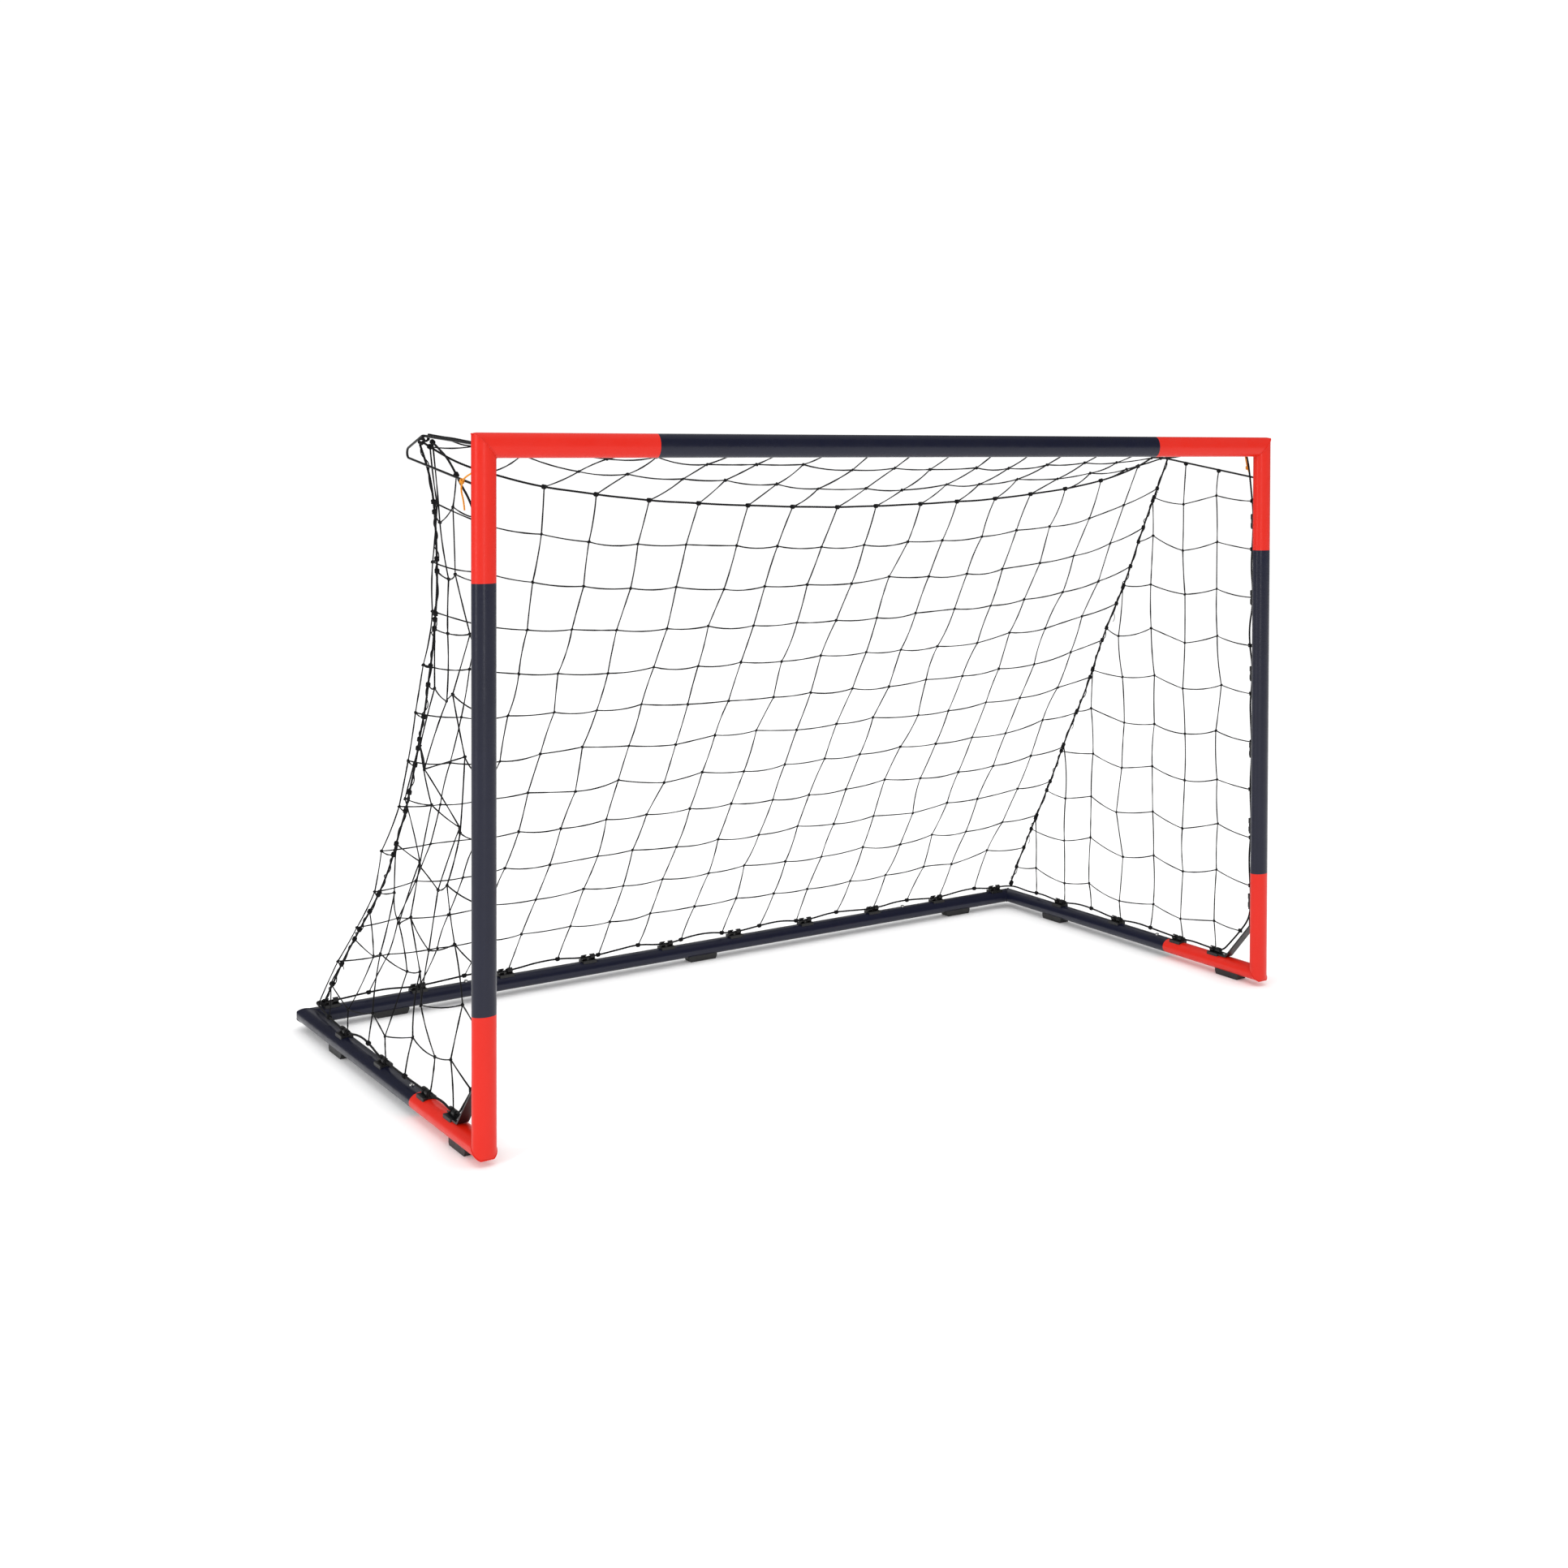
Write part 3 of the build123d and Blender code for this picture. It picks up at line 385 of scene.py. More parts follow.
# loose points between clips, in millimetres: out from the tube, and across it
slackOf = {
    "postLeft": [[(1.5, 1.5), (3.0, 2.5)], [(2.0, -1.5), (4.0, -1.0)], [(5.0, 1.0), (6.5, 2.0)],
                 [(2.0, -2.0), (3.5, -3.0)], [(3.5, 3.0), (5.0, 2.0)]],
    "postRight": [[(2.0, -2.0), (3.5, -1.5)], [(4.0, 1.0), (5.0, 2.0)], [(2.0, -1.5), (2.5, -3.0)],
                  [(6.0, -2.0), (8.0, -1.0)], [(3.0, -2.0), (2.0, -1.0)]],
    "bar": [[(2.0, -2.0), (3.0, -3.0)], [(3.0, -3.0), (2.0, -5.0)], [(2.0, -2.0), (3.5, -4.0)],
            [(4.0, -4.0), (3.0, -2.5)], [(2.0, -3.0), (3.0, -5.0)], [(3.0, -5.0), (2.0, -3.0)],
            [(4.0, -2.0), (3.0, -4.0)], [(2.0, -4.0), (3.0, -3.0)], [(3.0, -3.0), (2.0, -2.0)]],
    "sideLeft": [[(2.5, 1.5), (3.0, -1.0)], [(4.5, -6.0), (5.5, -7.0)], [(6.0, 3.0), (8.0, 5.0)]],
    "sideRight": [[(2.0, -1.5), (3.0, -2.5)], [(5.0, -6.0), (7.0, -5.0)], [(7.0, -3.0), (9.0, -4.0)]],
    "back": [[(4.0, -1.5), (6.0, -3.0)], [(5.0, -6.0), (7.5, -5.0)], [(7.0, -2.0), (8.0, -4.0)],
             [(5.0, -3.0), (9.0, -2.0)], [(8.0, -1.0), (9.0, -4.0)], [(6.0, -3.0), (8.0, -1.5)],
             [(7.0, -2.0), (5.0, -4.0)], [(8.0, -5.0), (6.0, -5.0)], [(6.0, -2.0), (8.0, -3.0)]],
}
behindBrace = [(0.8565, -0.3415, 0.072), (0.8555, -0.3695, 0.101), (0.8560, -0.3915, 0.128)]
leftToHoop = [(-0.8550, -0.3850, 1.0120), (-0.8525, -0.3520, 1.0400), (-0.8505, -0.3160, 1.0600),
              (-0.8500, -0.2880, 1.0820), (-0.8505, -0.2580, 1.1030), (-0.8510, -0.2220, 1.1180),
              (-0.8505, -0.1900, 1.1300)]
tipToBar = [(-0.8500, -0.1780, 1.1400), (-0.8505, -0.2320, 1.1360), (-0.8510, -0.2860, 1.1335),
            (-0.8500, -0.3380, 1.1290), (-0.8480, -0.3780, 1.1260), (-0.8340, -0.3970, 1.1240)]
barToPost = [(0.8320, -0.3980, 1.1150), (0.8430, -0.3960, 1.0900), (0.8480, -0.3965, 1.0580),
             (0.8525, -0.3970, 1.0230)]
backCorner = [(0.8575, 0.2850, 0.0510), (0.8530, 0.3330, 0.0485), (0.8500, 0.3760, 0.0530),
              (0.8460, 0.4040, 0.0495)]
ridgePoints = [
    (-0.850, -0.149, 1.128), (-0.803, -0.127, 1.104), (-0.754, -0.112, 1.085), (-0.700, -0.103, 1.071),
    (-0.645, -0.096, 1.057), (-0.589, -0.089, 1.046), (-0.533, -0.086, 1.039), (-0.477, -0.081, 1.031),
    (-0.420, -0.079, 1.025), (-0.364, -0.078, 1.019), (-0.307, -0.074, 1.016), (-0.250, -0.073, 1.012),
    (-0.193, -0.072, 1.009), (-0.137, -0.069, 1.007), (-0.080, -0.069, 1.004), (-0.023, -0.066, 1.003),
    (0.034, -0.068, 1.001), (0.091, -0.066, 1.002), (0.148, -0.068, 1.002), (0.205, -0.067, 1.004),
    (0.262, -0.070, 1.005), (0.318, -0.069, 1.008), (0.375, -0.072, 1.009), (0.432, -0.072, 1.013),
    (0.489, -0.077, 1.018), (0.545, -0.078, 1.024), (0.602, -0.082, 1.030), (0.658, -0.086, 1.039),
    (0.712, -0.093, 1.050), (0.763, -0.100, 1.065), (0.811, -0.118, 1.087), (0.850, -0.148, 1.125),
]
seamLeftPoints = [
    (-0.855, -0.152, 1.124), (-0.843, -0.160, 1.083), (-0.832, -0.154, 1.033), (-0.823, -0.141, 0.980),
    (-0.817, -0.131, 0.927), (-0.810, -0.114, 0.874), (-0.807, -0.096, 0.821), (-0.803, -0.076, 0.769),
    (-0.802, -0.055, 0.718), (-0.799, -0.033, 0.667), (-0.800, -0.010, 0.616), (-0.798, 0.015, 0.566),
    (-0.799, 0.039, 0.516), (-0.798, 0.066, 0.467), (-0.801, 0.094, 0.419), (-0.802, 0.123, 0.371),
    (-0.806, 0.153, 0.325), (-0.811, 0.187, 0.282), (-0.819, 0.223, 0.240), (-0.825, 0.260, 0.198),
    (-0.832, 0.296, 0.155), (-0.836, 0.331, 0.111), (-0.843, 0.362, 0.068),
]
seamRightPoints = [
    (0.850, -0.156, 1.118), (0.852, -0.130, 1.066), (0.852, -0.067, 0.945), (0.856, -0.008, 0.822),
    (0.852, 0.066, 0.690), (0.855, 0.122, 0.567), (0.851, 0.188, 0.450), (0.853, 0.248, 0.333),
    (0.849, 0.311, 0.215), (0.850, 0.365, 0.120), (0.846, 0.389, 0.064),
]
tieLeftPoints = [(-0.863, -0.393, 1.080), (-0.864, -0.372, 1.075), (-0.863, -0.351, 1.066),
                 (-0.862, -0.344, 1.051), (-0.860, -0.351, 1.034), (-0.858, -0.349, 1.020)]
tieRightPoints = [(0.838, -0.391, 1.109), (0.846, -0.386, 1.096), (0.852, -0.385, 1.079),
                  (0.860, -0.384, 1.066), (0.864, -0.382, 1.052)]


def laidRope(name, line, radius, material, nodes, lay=None, step=None):
    # radius times (1 - depth + depth |cos(1.5 (angle - 2 pi length / lay))|): three strands that wind round
    lay = lay or ropeSizes["lay"]
    step = step or ropeSizes["step"]
    total = lengthAlong(line)[-1]
    reach = np.linspace(0, total, int(total / step) + 2)
    points = atLength(line, reach)
    sides = ropeSizes["sides"]
    angle = np.arange(sides) * 2 * np.pi / sides
    wind = 1.5 * (angle[None, :] - 2 * np.pi * reach[:, None] / lay)
    depth = ropeSizes["strandDepth"]
    lumps = radius * (1 - depth + depth * np.abs(np.cos(wind)))
    piece = tubes(name, points[None], lumps[None], sides)
    return finishPiece(piece, material, nodes)


startLeft = toLeft([sideMiddles[0]])[0]
startRight = sideMiddles[0]
gripY = yAxis * ropeSizes["grip"]
mouthLeftRoute = ([startLeft, startLeft - gripY] + toLeft(behindBrace)
                  + throughClips(toLeft(postMiddles), zAxis, yAxis, xAxis, slackOf["postLeft"])
                  + leftToHoop)
topMiddles = toLeft(barMiddles)[::-1] + barMiddles
mouthTopRoute = (tipToBar + throughClips(topMiddles, xAxis, yAxis, zAxis, slackOf["bar"]) + barToPost
                 + throughClips(postMiddles, zAxis, yAxis, xAxis, slackOf["postRight"])[::-1]
                 + behindBrace[::-1] + [startRight - gripY, startRight])
leftBase = throughClips(toLeft(sideMiddles), yAxis, zAxis, xAxis, slackOf["sideLeft"])[1:]
rightBase = throughClips(sideMiddles, yAxis, zAxis, xAxis, slackOf["sideRight"])[1:][::-1]
alongBack = throughClips(toLeft(backMiddles)[::-1] + backMiddles, xAxis, zAxis, yAxis, slackOf["back"])
baseRoute = ([startLeft] + leftBase + toLeft(backCorner) + alongBack + backCorner[::-1] + rightBase
             + [startRight])

mouthLeftLine = smoothLine(mouthLeftRoute)
mouthTopLine = smoothLine(mouthTopRoute)
baseLine = smoothLine(baseRoute)
ridgeLine = smoothLine(ridgePoints)
seamLeftLine = smoothLine(seamLeftPoints)
seamRightLine = smoothLine(seamRightPoints)
tieLeftLine = smoothLine(tieLeftPoints)
tieRightLine = smoothLine(tieRightPoints)

ropeRadius = ropeSizes["diameter"] / 2
laidRope("ropeMouthLeft", mouthLeftLine, ropeRadius, blackRope, ["rope_mouth_left"])
laidRope("ropeMouthTop", mouthTopLine, ropeRadius, blackRope, ["rope_mouth_top"])
laidRope("ropeBase", baseLine, ropeRadius, blackRope, ["rope_base"])
ropeRidge = laidRope("ropeRidge", ridgeLine, ropeRadius, blackRope, ["rope_ridge"])
ropeSeamLeft = laidRope("ropeSeamLeft", seamLeftLine, ropeRadius, blackRope,
                        ["rope_seam_left"])
ropeSeamRight = laidRope("ropeSeamRight", seamRightLine, ropeRadius, blackRope,
                         ["rope_seam_right"])
tieRadius = ropeSizes["tieDiameter"] / 2
tieLeft = laidRope("tieLeft", tieLeftLine, tieRadius, orangeCord, ["tie_left"],
                   lay=0.009, step=0.0012)
tieRight = laidRope("tieRight", tieRightLine, tieRadius, orangeCord, ["tie_right"],
                    lay=0.009, step=0.0012)
print("ropes laid")

# knotted net
netSizes = {
    "twine": 0.00125,  # radius
    "knot": 0.0027,
    "down": 12,  # meshes from the ridge to the back rail
    "roof": 3,
    "mesh": 0.104,
    "slack": 0.0042,  # how far a knot strays
    "bow": 0.0013,
    "sag": 0.003,
    "rings": 7,
    "sides": 6,
    "firstColumn": -0.833,  # where the first column crosses the ridge, along X
    "pitch": 0.1148,
    "squeeze": 0.00083,  # times the square of a column's number, is how far it closes up along the ridge
    "columns": 17,
    "firstBase": -0.839,  # where the first column meets the back rail, along X
    "basePitch": 0.0993,
    "zigzag": 0.009,  # rows of the side nets rise and fall by this from column to column
}


def hungSurface(top, bottom, left, right, hold):
    # (1 - v) top + v bottom, plus what each side edge adds to a straight line between its corners,
    # which dies away from that edge as (1 - u)^hold on the left and u^hold on the right
    left, right = left.copy(), right.copy()
    left[0], left[-1], right[0], right[-1] = top[0], bottom[0], top[-1], bottom[-1]
    v = np.linspace(0, 1, len(left))[:, None]
    u = np.linspace(0, 1, len(top))[None, :, None]
    ruled = (1 - v[:, None]) * top[None] + v[:, None] * bottom[None]
    leftAdds = left - ((1 - v) * top[0] + v * bottom[0])
    rightAdds = right - ((1 - v) * top[-1] + v * bottom[-1])
    return ruled + (1 - u) ** hold * leftAdds[:, None] + u ** hold * rightAdds[:, None]


def strayed(knots, amount, stretch=(1.0, 1.0, 1.0)):
    # inner knots pulled a little off the even grid; the edges stay on their ropes
    moved = knots.copy()
    moved[1:-1, 1:-1] += rng.normal(0, 1, moved[1:-1, 1:-1].shape) * amount * np.asarray(stretch)
    return moved


def bowed(starts, ends, bow, sag):
    # start + (end - start) t + (random bow + sag downwards) 4 t (1 - t), for t from 0 to 1
    t = np.linspace(0, 1, netSizes["rings"])[None, :, None]
    lean = rng.normal(0, 1, starts.shape) * bow
    span = np.linalg.norm(ends - starts, axis=1)[:, None]
    level = 1 - np.abs((ends - starts)[:, 2:3]) / np.maximum(span, 1e-6)
    lean = lean * (span / netSizes["mesh"]) - np.array([0, 0, 1.0]) * sag * level
    return starts[:, None] + (ends - starts)[:, None] * t + lean[:, None] * 4 * t * (1 - t)


def knotLumps(name, places, size):
    # a small egg of wound twine, a third longer than it is wide and turned at random: rings of
    # sin(polar angle)
    polar = np.linspace(0.18, np.pi - 0.18, 6)
    axes = unit(rng.normal(0, 1, places.shape))
    centres = places[:, None] + axes[:, None] * (-np.cos(polar) * size * 1.35)[None, :, None]
    angle = np.arange(8) * np.pi / 4
    twist = 1 + 0.22 * np.cos(2 * angle[None, None, :] + 2.2 * polar[None, :, None])
    radius = size * np.sin(polar)[None, :, None] * twist
    return tubes(name, centres, radius, 8, guide=(0.3, -0.5, 0.81))


def rounds(name, places, directions, ringRadius, twine):
    # hitches: three turns side by side round a rope, each a tilted circle across the rope's direction
    side = unit(np.cross(directions, np.array([0.31, 0.52, 0.79])))
    other = np.cross(directions, side)
    angle = np.arange(14) * 2 * np.pi / 14
    circle = (np.cos(angle)[None, :, None] * side[:, None] + np.sin(angle)[None, :, None] * other[:, None])
    rings = []
    for step in (-1, 0, 1):
        tilt = np.cos(angle + step)[None, :, None] * directions[:, None] * twine * 0.6
        rings.append(places[:, None] + circle * ringRadius + tilt
                     + directions[:, None] * step * twine * 1.9)
    lines = np.concatenate(rings)
    guides = np.concatenate([directions] * 3)[:, None]
    return tubes(name, lines, twine, 6, loop=True, guide=np.broadcast_to(guides, lines.shape))


def directionAt(line, reach):
    return unit(atLength(line, reach + 0.004) - atLength(line, reach - 0.004))


def gridSpans(knots):
    across = (knots[:, :-1].reshape(-1, 3), knots[:, 1:].reshape(-1, 3))
    down = (knots[:-1].reshape(-1, 3), knots[1:].reshape(-1, 3))
    return across, down


acrossCount, downCount = netSizes["columns"] + 1, netSizes["down"]
columnNumber = np.arange(netSizes["columns"])
columnX = (netSizes["firstColumn"] + netSizes["pitch"] * columnNumber
           - netSizes["squeeze"] * columnNumber ** 2)
columnReach = np.interp(columnX + rng.normal(0, 0.003, len(columnX)), ridgeLine[:, 0],
                        lengthAlong(ridgeLine))
ridgeReach = np.concatenate([[0.0], columnReach, lengthAlong(ridgeLine)[-1:]])
ridgeKnots = atLength(ridgeLine, ridgeReach)
leftEnd = nearestLength(baseLine, (-0.846, 0.404, 0.0495))
rightEnd = nearestLength(baseLine, (0.846, 0.404, 0.0495))
alongBackLine = baseLine[(baseLine[:, 1] > 0.39) & (np.abs(baseLine[:, 0]) < 0.84)]
backStart = nearestLength(baseLine, alongBackLine[0])
baseX = netSizes["firstBase"] + netSizes["basePitch"] * columnNumber
baseX += rng.normal(0, 0.005, len(baseX))
baseColumns = backStart + np.interp(baseX, alongBackLine[:, 0], lengthAlong(alongBackLine))
baseReach = np.concatenate([[leftEnd], baseColumns, [rightEnd]])
baseKnots = atLength(baseLine, baseReach)
seamLeftReach = np.linspace(0, lengthAlong(seamLeftLine)[-1], downCount + 1)
seamRightReach = np.linspace(0, lengthAlong(seamRightLine)[-1], downCount + 1)
seamLeftKnots = atLength(seamLeftLine, seamLeftReach)
seamRightKnots = atLength(seamRightLine, seamRightReach)

backKnots = hungSurface(ridgeKnots, baseKnots, seamLeftKnots, seamRightKnots, 5)
backKnots = strayed(backKnots, netSizes["slack"], (0.7, 1.0, 0.6))
barLeft = nearestLength(mouthTopLine, (-0.834, -0.397, 1.124))
barRight = nearestLength(mouthTopLine, (0.832, -0.398, 1.115))
barReach = np.linspace(barLeft, barRight, acrossCount + 1)
barKnots = atLength(mouthTopLine, barReach)
tipReach = nearestLength(mouthTopLine, (-0.850, -0.178, 1.140))
roofLeft = atLength(mouthTopLine, np.linspace(barLeft, tipReach, netSizes["roof"] + 1))
roofShare = np.linspace(0, 1, netSizes["roof"] + 1)[:, None]
roofRight = barKnots[-1] * (1 - roofShare) + ridgeKnots[-1] * roofShare
roofKnots = hungSurface(barKnots, ridgeKnots, roofLeft, roofRight, 2)
roofKnots = strayed(roofKnots, netSizes["slack"], (1.0, 1.0, 0.9))


def zigzag(count, size):
    return size * np.where(np.arange(count) % 2 == 0, 1.0, -1.0)


sideSizes = {
    "firstRow": 0.055,  # above the base rope
    "top": 1.06,
    "rowPitch": 0.97,  # in meshes
    "firstColumn": 0.125,  # behind the mouth
    "back": 0.36,
    "columnPitch": 0.96,  # in meshes
    "lean": 1.6,  # how late the net leans over from the post's line to the seam's
    "room": (0.02, 0.965),  # knots lie between these shares of the way from the post to the seam
    "below": 0.028,  # and at least this far below the hoop or the seam
}


def sideNet(side, seamLine, hoopEdge, frontLine, looseness):
    # columns hang from the hoop or the seam to the rail, and rows run from the post back to the seam
    mesh = netSizes["mesh"]
    seamOrder = seamLine[::-1]
    rows = np.arange(ropeAbove + sideSizes["firstRow"], sideSizes["top"], mesh * sideSizes["rowPitch"])
    columns = np.arange(mouthY + sideSizes["firstColumn"], sideSizes["back"],
                        mesh * sideSizes["columnPitch"])
    seamY = np.interp(rows, seamOrder[:, 2], seamOrder[:, 1])
    seamX = np.interp(rows, seamOrder[:, 2], seamOrder[:, 0])
    frontY = np.interp(rows, frontLine[:, 2], frontLine[:, 1])
    frontX = np.interp(rows, frontLine[:, 2], frontLine[:, 0])
    topZ = np.where(columns < hoopEdge[-1, 1],
                    np.interp(columns, hoopEdge[:, 1], hoopEdge[:, 2]),
                    np.interp(columns, np.maximum.accumulate(seamLine[:, 1]), seamLine[:, 2]))
    share = (columns[None] - frontY[:, None]) / (seamY - frontY)[:, None]
    x = frontX[:, None] + (seamX - frontX)[:, None] * np.clip(share, 0, 1) ** sideSizes["lean"]
    y = np.broadcast_to(columns[None], x.shape)
    z = np.broadcast_to(rows[:, None], x.shape)
    knots = np.stack([x, y, z], axis=-1).copy()
    stray = rng.normal(0, 1, knots.shape) * netSizes["slack"] * looseness * np.array([1.3, 1.0, 0.8])
    knots += stray
    rise = 0.6 + 0.8 * rng.random((len(rows), 1))
    knots[..., 2] += zigzag(len(columns), netSizes["zigzag"])[None] * rise
    low, high = sideSizes["room"]
    inside = (share > low) & (share < high) & (rows[:, None] < topZ[None] - sideSizes["below"])
    starts, ends, edges = [], [], []
    for row in range(len(rows)):
        held = np.flatnonzero(inside[row])
        seamEnd = np.array([seamX[row], seamY[row], rows[row]])
        frontEnd = np.array([frontX[row], frontY[row], rows[row]])
        chain = [frontEnd] + [knots[row, column] for column in held] + [seamEnd]
        starts += chain[:-1]
        ends += chain[1:]
        edges += [(frontEnd, (0, 0, 1)), (seamEnd, tuple(directionNear(seamLine, seamEnd)))]
    for column in range(len(columns)):
        held = np.flatnonzero(inside[:, column])
        baseEnd = nearestPoint(baseLine, (side * postX, columns[column], ropeAbove))
        isHoop = columns[column] < hoopEdge[-1, 1]
        upper = hoopEdge if isHoop else seamLine
        reachX = np.interp(columns[column], upper[:, 1] if isHoop else np.maximum.accumulate(upper[:, 1]),
                           upper[:, 0])
        topEnd = np.array([reachX, columns[column], topZ[column]])
        chain = [baseEnd] + [knots[row, column] for row in held] + [topEnd]
        starts += chain[:-1]
        ends += chain[1:]
        edges += [(baseEnd, (0, 1, 0)), (topEnd, tuple(directionNear(upper, topEnd)))]
    return knots[inside], np.array(starts), np.array(ends), edges


def nearestPoint(line, point):
    return line[np.argmin(np.linalg.norm(line - np.asarray(point), axis=1))]


def directionNear(line, point):
    place = np.clip(np.argmin(np.linalg.norm(line - np.asarray(point), axis=1)), 1, len(line) - 2)
    return unit(line[place + 1] - line[place - 1])


hoopPoints = {"front": (mouthY + 0.006, 1.057), "back": (mouthY + 0.354, 1.106)}
hoopShare = np.linspace(0.12, 0.80, 12)[:, None]
legFront = np.array([postX, hoopPoints["front"][0], hoopPoints["front"][1] - 0.002])
legBack = np.array([postX, hoopPoints["back"][0], hoopPoints["back"][1] - 0.002])
legRight = legFront * (1 - hoopShare) + legBack * hoopShare
hoopStretch = atLength(mouthLeftLine, np.linspace(nearestLength(mouthLeftLine, (-0.8550, -0.3850, 1.0120)),
                                                 lengthAlong(mouthLeftLine)[-1], 24))
postLeftLine = mouthLeftLine[(mouthLeftLine[:, 2] > 0.05) & (mouthLeftLine[:, 1] < -0.15)]
postRightLine = mouthTopLine[(mouthTopLine[:, 0] > 0.80) & (mouthTopLine[:, 2] > 0.05)][::-1]
leftNet = sideNet(-1, seamLeftLine, hoopStretch, postLeftLine, 2.4)
rightNet = sideNet(1, seamRightLine, legRight, postRightLine, 0.8)


def netPiece(name, knots, spansList, edges, node):
    # one piece for each panel of net: its twines, its knots and its hitches to the ropes round it
    lines = np.concatenate([bowed(starts, ends, netSizes["bow"], netSizes["sag"])
                            for starts, ends in spansList])
    wound = netSizes["twine"] * (1 + 0.12 * rng.normal(0, 1, (len(lines), netSizes["rings"], 1)))
    wound = np.clip(wound, 0.8 * netSizes["twine"], 1.25 * netSizes["twine"])
    twines = tubes(name + "Twine", lines, wound, netSizes["sides"], guide=(0.31, 0.52, 0.79))
    lumps = knotLumps(name + "Knots", knots, netSizes["knot"])
    places = np.array([place for place, direction in edges])
    directions = unit(np.array([direction for place, direction in edges], dtype=float))
    hitches = rounds(name + "Hitches", places, directions, ropeRadius + netSizes["twine"],
                     netSizes["twine"])
    finishPiece(twines, netTwine, [node])
    finishPiece(lumps, netTwine)
    finishPiece(hitches, netTwine)
    print(name, "twines", len(lines), "knots", len(knots), "hitches", len(places))


def edgeList(line, reach):
    return list(zip(atLength(line, reach), directionAt(line, reach)))


across, down = gridSpans(backKnots)
inAcross = (across[0].reshape(downCount + 1, acrossCount, 3)[1:-1].reshape(-1, 3),
            across[1].reshape(downCount + 1, acrossCount, 3)[1:-1].reshape(-1, 3))
inDown = (down[0].reshape(downCount, acrossCount + 1, 3)[:, 1:-1].reshape(-1, 3),
          down[1].reshape(downCount, acrossCount + 1, 3)[:, 1:-1].reshape(-1, 3))
backEdges = (edgeList(ridgeLine, ridgeReach[1:-1]) + edgeList(baseLine, baseReach[1:-1])
             + edgeList(seamLeftLine, seamLeftReach[1:-1]) + edgeList(seamRightLine, seamRightReach[1:-1]))
netPiece("netBack", backKnots[1:-1, 1:-1].reshape(-1, 3), [inAcross, inDown], backEdges, "net_back")

roofCount = netSizes["roof"]
across, down = gridSpans(roofKnots)
inAcross = (across[0].reshape(roofCount + 1, acrossCount, 3)[1:-1].reshape(-1, 3),
            across[1].reshape(roofCount + 1, acrossCount, 3)[1:-1].reshape(-1, 3))
inDown = (down[0].reshape(roofCount, acrossCount + 1, 3)[:, 1:-1].reshape(-1, 3),
          down[1].reshape(roofCount, acrossCount + 1, 3)[:, 1:-1].reshape(-1, 3))
netPiece("netRoof", roofKnots[1:-1, 1:-1].reshape(-1, 3), [inAcross, inDown],
         edgeList(mouthTopLine, barReach[1:-1]), "net_roof")
netPiece("netSideLeft", leftNet[0], [(leftNet[1], leftNet[2])], leftNet[3], "net_side_left")
netPiece("netSideRight", rightNet[0], [(rightNet[1], rightNet[2])], rightNet[3], "net_side_right")
print("net knotted")

# lacing, knots and weld beads
lacingSizes = {"pitch": 0.052, "twine": 0.0010, "ropeGap": 0.0024}


def lacing(name, line):
    # twine wound loosely round a rope: centre + offset (cos, sin)(2 pi length / pitch) across the rope, with
    # waves added to the offset and the angle
    total = lengthAlong(line)[-1]
    reach = np.arange(0.004, total - 0.004, 0.002)
    centre = atLength(line, reach)
    along = directionAt(line, reach)
    side = unit(np.cross(along, np.array([0.36, 0.48, 0.8])))
    other = np.cross(along, side)
    wander = 1 + 0.8 * np.sin(reach * 61.0) * np.sin(reach * 23.0)
    angle = (2 * np.pi * reach / lacingSizes["pitch"] + 1.4 * np.sin(reach * 37.0))[:, None]
    offset = (lacingSizes["ropeGap"] * np.maximum(wander, 1.0))[:, None]
    spiral = centre + offset * (np.cos(angle) * side + np.sin(angle) * other)
    return finishPiece(tubes(name, spiral[None], lacingSizes["twine"], 6), netTwine)


lacing("lacingSeamLeft", seamLeftLine)
lacing("lacingSeamRight", seamRightLine)


def lashing(name, centre, axis, radius, turns, twine, material):
    # a tight helix about a wire and the ropes beside it
    axis = unit(np.asarray(axis, dtype=float))
    side = unit(np.cross(axis, np.array([0.9, 0.1, 0.2])))
    other = np.cross(axis, side)
    t = np.linspace(0, 1, turns * 16)[:, None]
    angle = 2 * np.pi * turns * t
    swell = radius * (1 + 0.10 * np.sin(5.0 * angle))
    line = (np.asarray(centre) + axis * (t - 0.5) * turns * twine * 1.95
            + swell * (np.cos(angle) * side + np.sin(angle) * other))
    return finishPiece(tubes(name, line[None], twine, 6), material)


tipAxis = (0.0, 0.998, 0.05)
for sideName, side in (("Left", -1), ("Right", 1)):
    lashing("tipLashing" + sideName, (side * 0.8545, -0.176, 1.1340), tipAxis, 0.0052, 7, 0.0008, netTwine)
    lashing("tipBinding" + sideName, (side * 0.8540, -0.158, 1.1290), (0.0, 0.9, -0.44), 0.0050, 5, 0.0009,
            netTwine)
lashing("cornerBindingLeft", (-0.8445, 0.372, 0.0590), (0.1, -0.6, 0.8), 0.0042, 5, 0.0009, netTwine)
lashing("cornerBindingRight", (0.8475, 0.391, 0.0590), (0.05, -0.4, 0.9), 0.0042, 5, 0.0009, netTwine)
lashing("tieHitchLeft", tieLeftPoints[2], (0.1, 0.8, -0.5), 0.0030, 3, 0.0012, orangeCord)
lashing("tieHitchRight", tieRightPoints[2], (0.3, 0.2, -0.9), 0.0030, 3, 0.0012, orangeCord)

beadSizes = {"radius": 0.0009, "ripple": 0.25, "ripples": 52, "cornerRadius": 0.008}


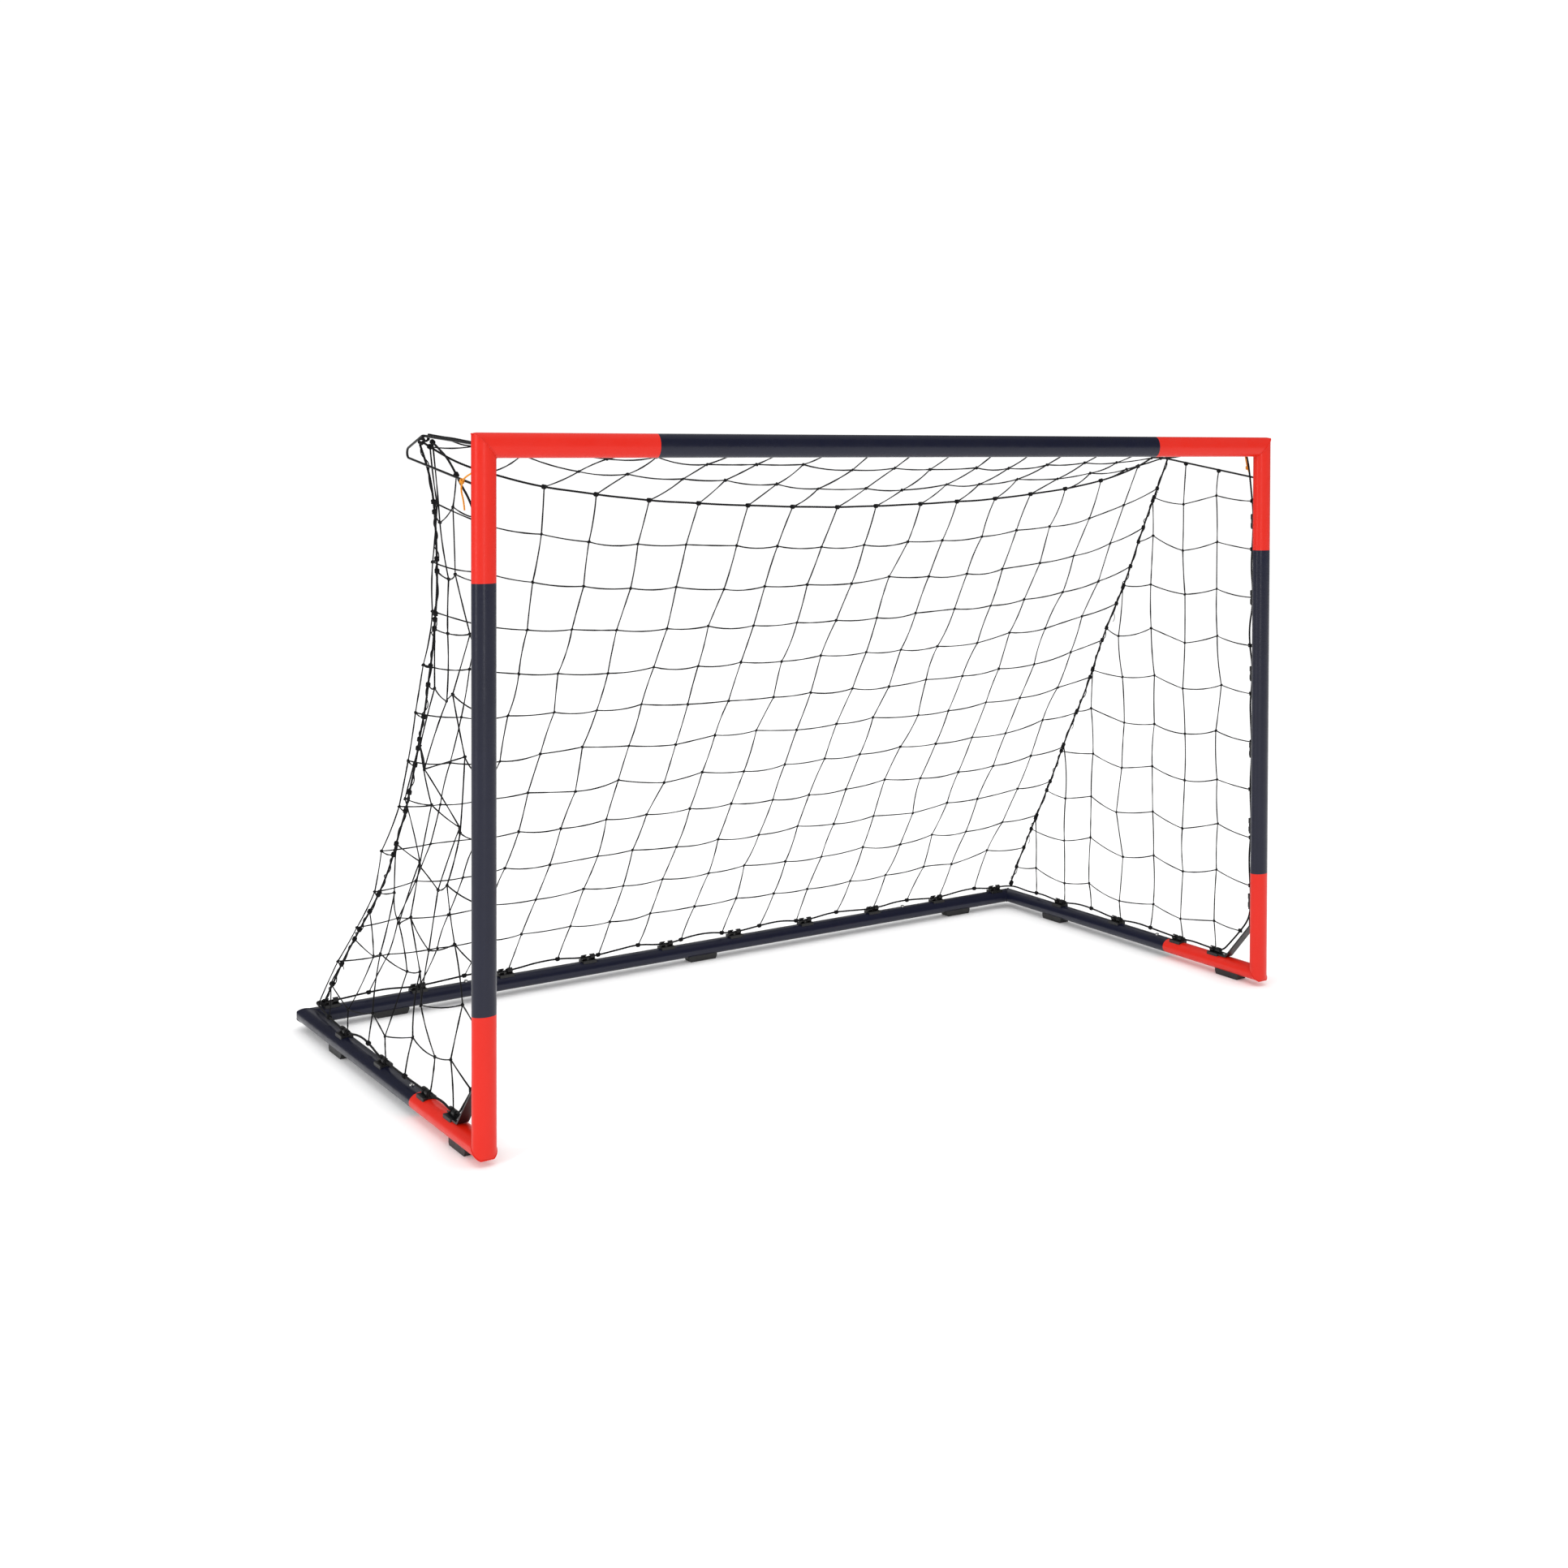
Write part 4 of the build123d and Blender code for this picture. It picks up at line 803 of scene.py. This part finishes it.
def weldBead(name, corner, first, second, wideFirst, material):
    # the mitre's ellipse: the oval's own point plus the same step along both tubes; the bead swells in
    # ripples
    angle = np.linspace(0, 2 * np.pi, 180, endpoint=False)
    wide, deep = tubeSizes["wide"] / 2 + 0.0002, tubeSizes["deep"] / 2 + 0.0002
    normal = np.cross(first, second)
    inPlane, outPlane = (wide, deep) if wideFirst else (deep, wide)
    # the corner's rounding stops it short of the sharp corner by 0.29 of the rounding's radius
    across = np.maximum(inPlane * np.cos(angle), 0.293 * beadSizes["cornerRadius"] - inPlane)[:, None]
    # a point in the corner's plane is as far along one tube as it is along the other
    ring = np.asarray(corner) + across * (np.asarray(first) + np.asarray(second)) + (
        outPlane * np.sin(angle)[:, None] * normal)
    ripple = beadSizes["radius"] * (1 + beadSizes["ripple"] * np.sin(beadSizes["ripples"] * angle))
    guide = unit(np.asarray(first) - np.asarray(second))
    bead = tubes(name, ring[None], np.broadcast_to(ripple[None, :, None], (1, 180, 8)), 8, loop=True,
                 guide=guide)
    return finishPiece(bead, material)


for sideName, side in (("Left", -1), ("Right", 1)):
    inward = -side * xAxis
    weldBead("topBead" + sideName, (side * postX, mouthY, tubeSizes["barZ"]), inward, -zAxis, True,
             redPaint)
    weldBead("bottomBead" + sideName, (side * postX, mouthY, tubeSizes["railZ"]), zAxis, yAxis, False,
             redPaint)
    weldBead("backBead" + sideName, (side * postX, backY, tubeSizes["railZ"]), inward, -yAxis, True,
             navyPaint)

tailSettings = {"length": 0.030, "twine": 0.0007}


def looseTails(name, line, reaches, outward):
    # short twine ends that curl away from the rope: a widening arc of 2.5 to 7.5 radians
    starts = atLength(line, reaches)
    t = np.linspace(0, 1, 18)[None, :, None]
    turn = rng.uniform(2.5, 7.5, (len(reaches), 1, 1))
    phase = rng.uniform(0, 2 * np.pi, (len(reaches), 1, 1))
    size = tailSettings["length"] * rng.uniform(0.5, 1.1, (len(reaches), 1, 1))
    curl = size * 0.28 * t * (np.cos(phase + turn * t) * yAxis + np.sin(phase + turn * t) * zAxis)
    drift = size * t * (np.asarray(outward) * 0.5 - zAxis * 0.7 * t)
    piece = tubes(name, starts[:, None] + curl + drift, tailSettings["twine"], 5)
    return finishPiece(piece, netTwine)


looseTails("tailsSeamLeft", seamLeftLine, np.array([0.11, 0.36, 0.62, 0.93, 1.10]), (0.2, 0.5, 0.0))
looseTails("tailsSeamRight", seamRightLine, np.array([0.10, 0.42, 0.72, 1.05]), (-0.2, -0.6, 0.0))
print("lacing, knots and beads")

# floor and light
def makeFloor():
    size = 12.0
    corners = np.array([(-size, -size, 0), (size, -size, 0), (size, size, 0), (-size, size, 0)])
    floor = meshObject("floor", corners, [[0, 1, 2, 3]], smooth=False)
    material, nodes, links, shader = newMaterial("paleFloor", (0.97, 0.97, 0.97), 0.9, specular=0.0)
    place = nodes.new("ShaderNodeTexCoord").outputs["Object"]
    cloud = noiseOn(nodes, links, place, 1.5, 3)
    links.new(mixColours(nodes, links, cloud, (0.96, 0.96, 0.96), (0.98, 0.98, 0.98)),
              shader.inputs["Base Color"])
    floor.data.materials.append(material)


lightSettings = [
    ("overhead", (0.0, 0.4, 4.6), (0.0, 0.4, 0.0), (6.0, 6.0), 45.0),
    ("leftStrip", (-4.4, -1.6, 2.0), (-0.4, 0.0, 0.6), (0.7, 3.4), 42.0),
    ("frontStrip", (-1.0, -6.2, 1.6), (0.0, 0.0, 0.6), (0.5, 3.6), 36.0),
    ("backFill", (2.4, 6.4, 4.0), (0.0, 2.5, 0.0), (5.0, 4.0), 30.0),
]


def makeLights():
    for name, place, target, (width, height), power in lightSettings:
        data = bpy.data.lights.new(name, "AREA")
        data.shape = "RECTANGLE"
        data.size, data.size_y = width, height
        data.energy = power
        lamp = bpy.data.objects.new(name, data)
        bpy.context.scene.collection.objects.link(lamp)
        lamp.location = place
        aim = Vector(target) - Vector(place)
        lamp.rotation_euler = aim.to_track_quat("-Z", "Y").to_euler()
    world = bpy.data.worlds.new("studio")
    world.use_nodes = True
    # an even white room, which the gloss sees as a dim grey one
    nodes, links = world.node_tree.nodes, world.node_tree.links
    nodes["Background"].inputs["Color"].default_value = (1.0, 1.0, 1.0, 1.0)
    path = nodes.new("ShaderNodeLightPath")
    links.new(rangeOf(nodes, links, path.outputs["Is Glossy Ray"], 1.05, 0.12, 0.0, 1.0),
              nodes["Background"].inputs["Strength"])
    bpy.context.scene.world = world
    bpy.context.scene.view_settings.view_transform = "Standard"
    bpy.context.scene.view_settings.look = "None"


makeFloor()
makeLights()
print("floor and light")
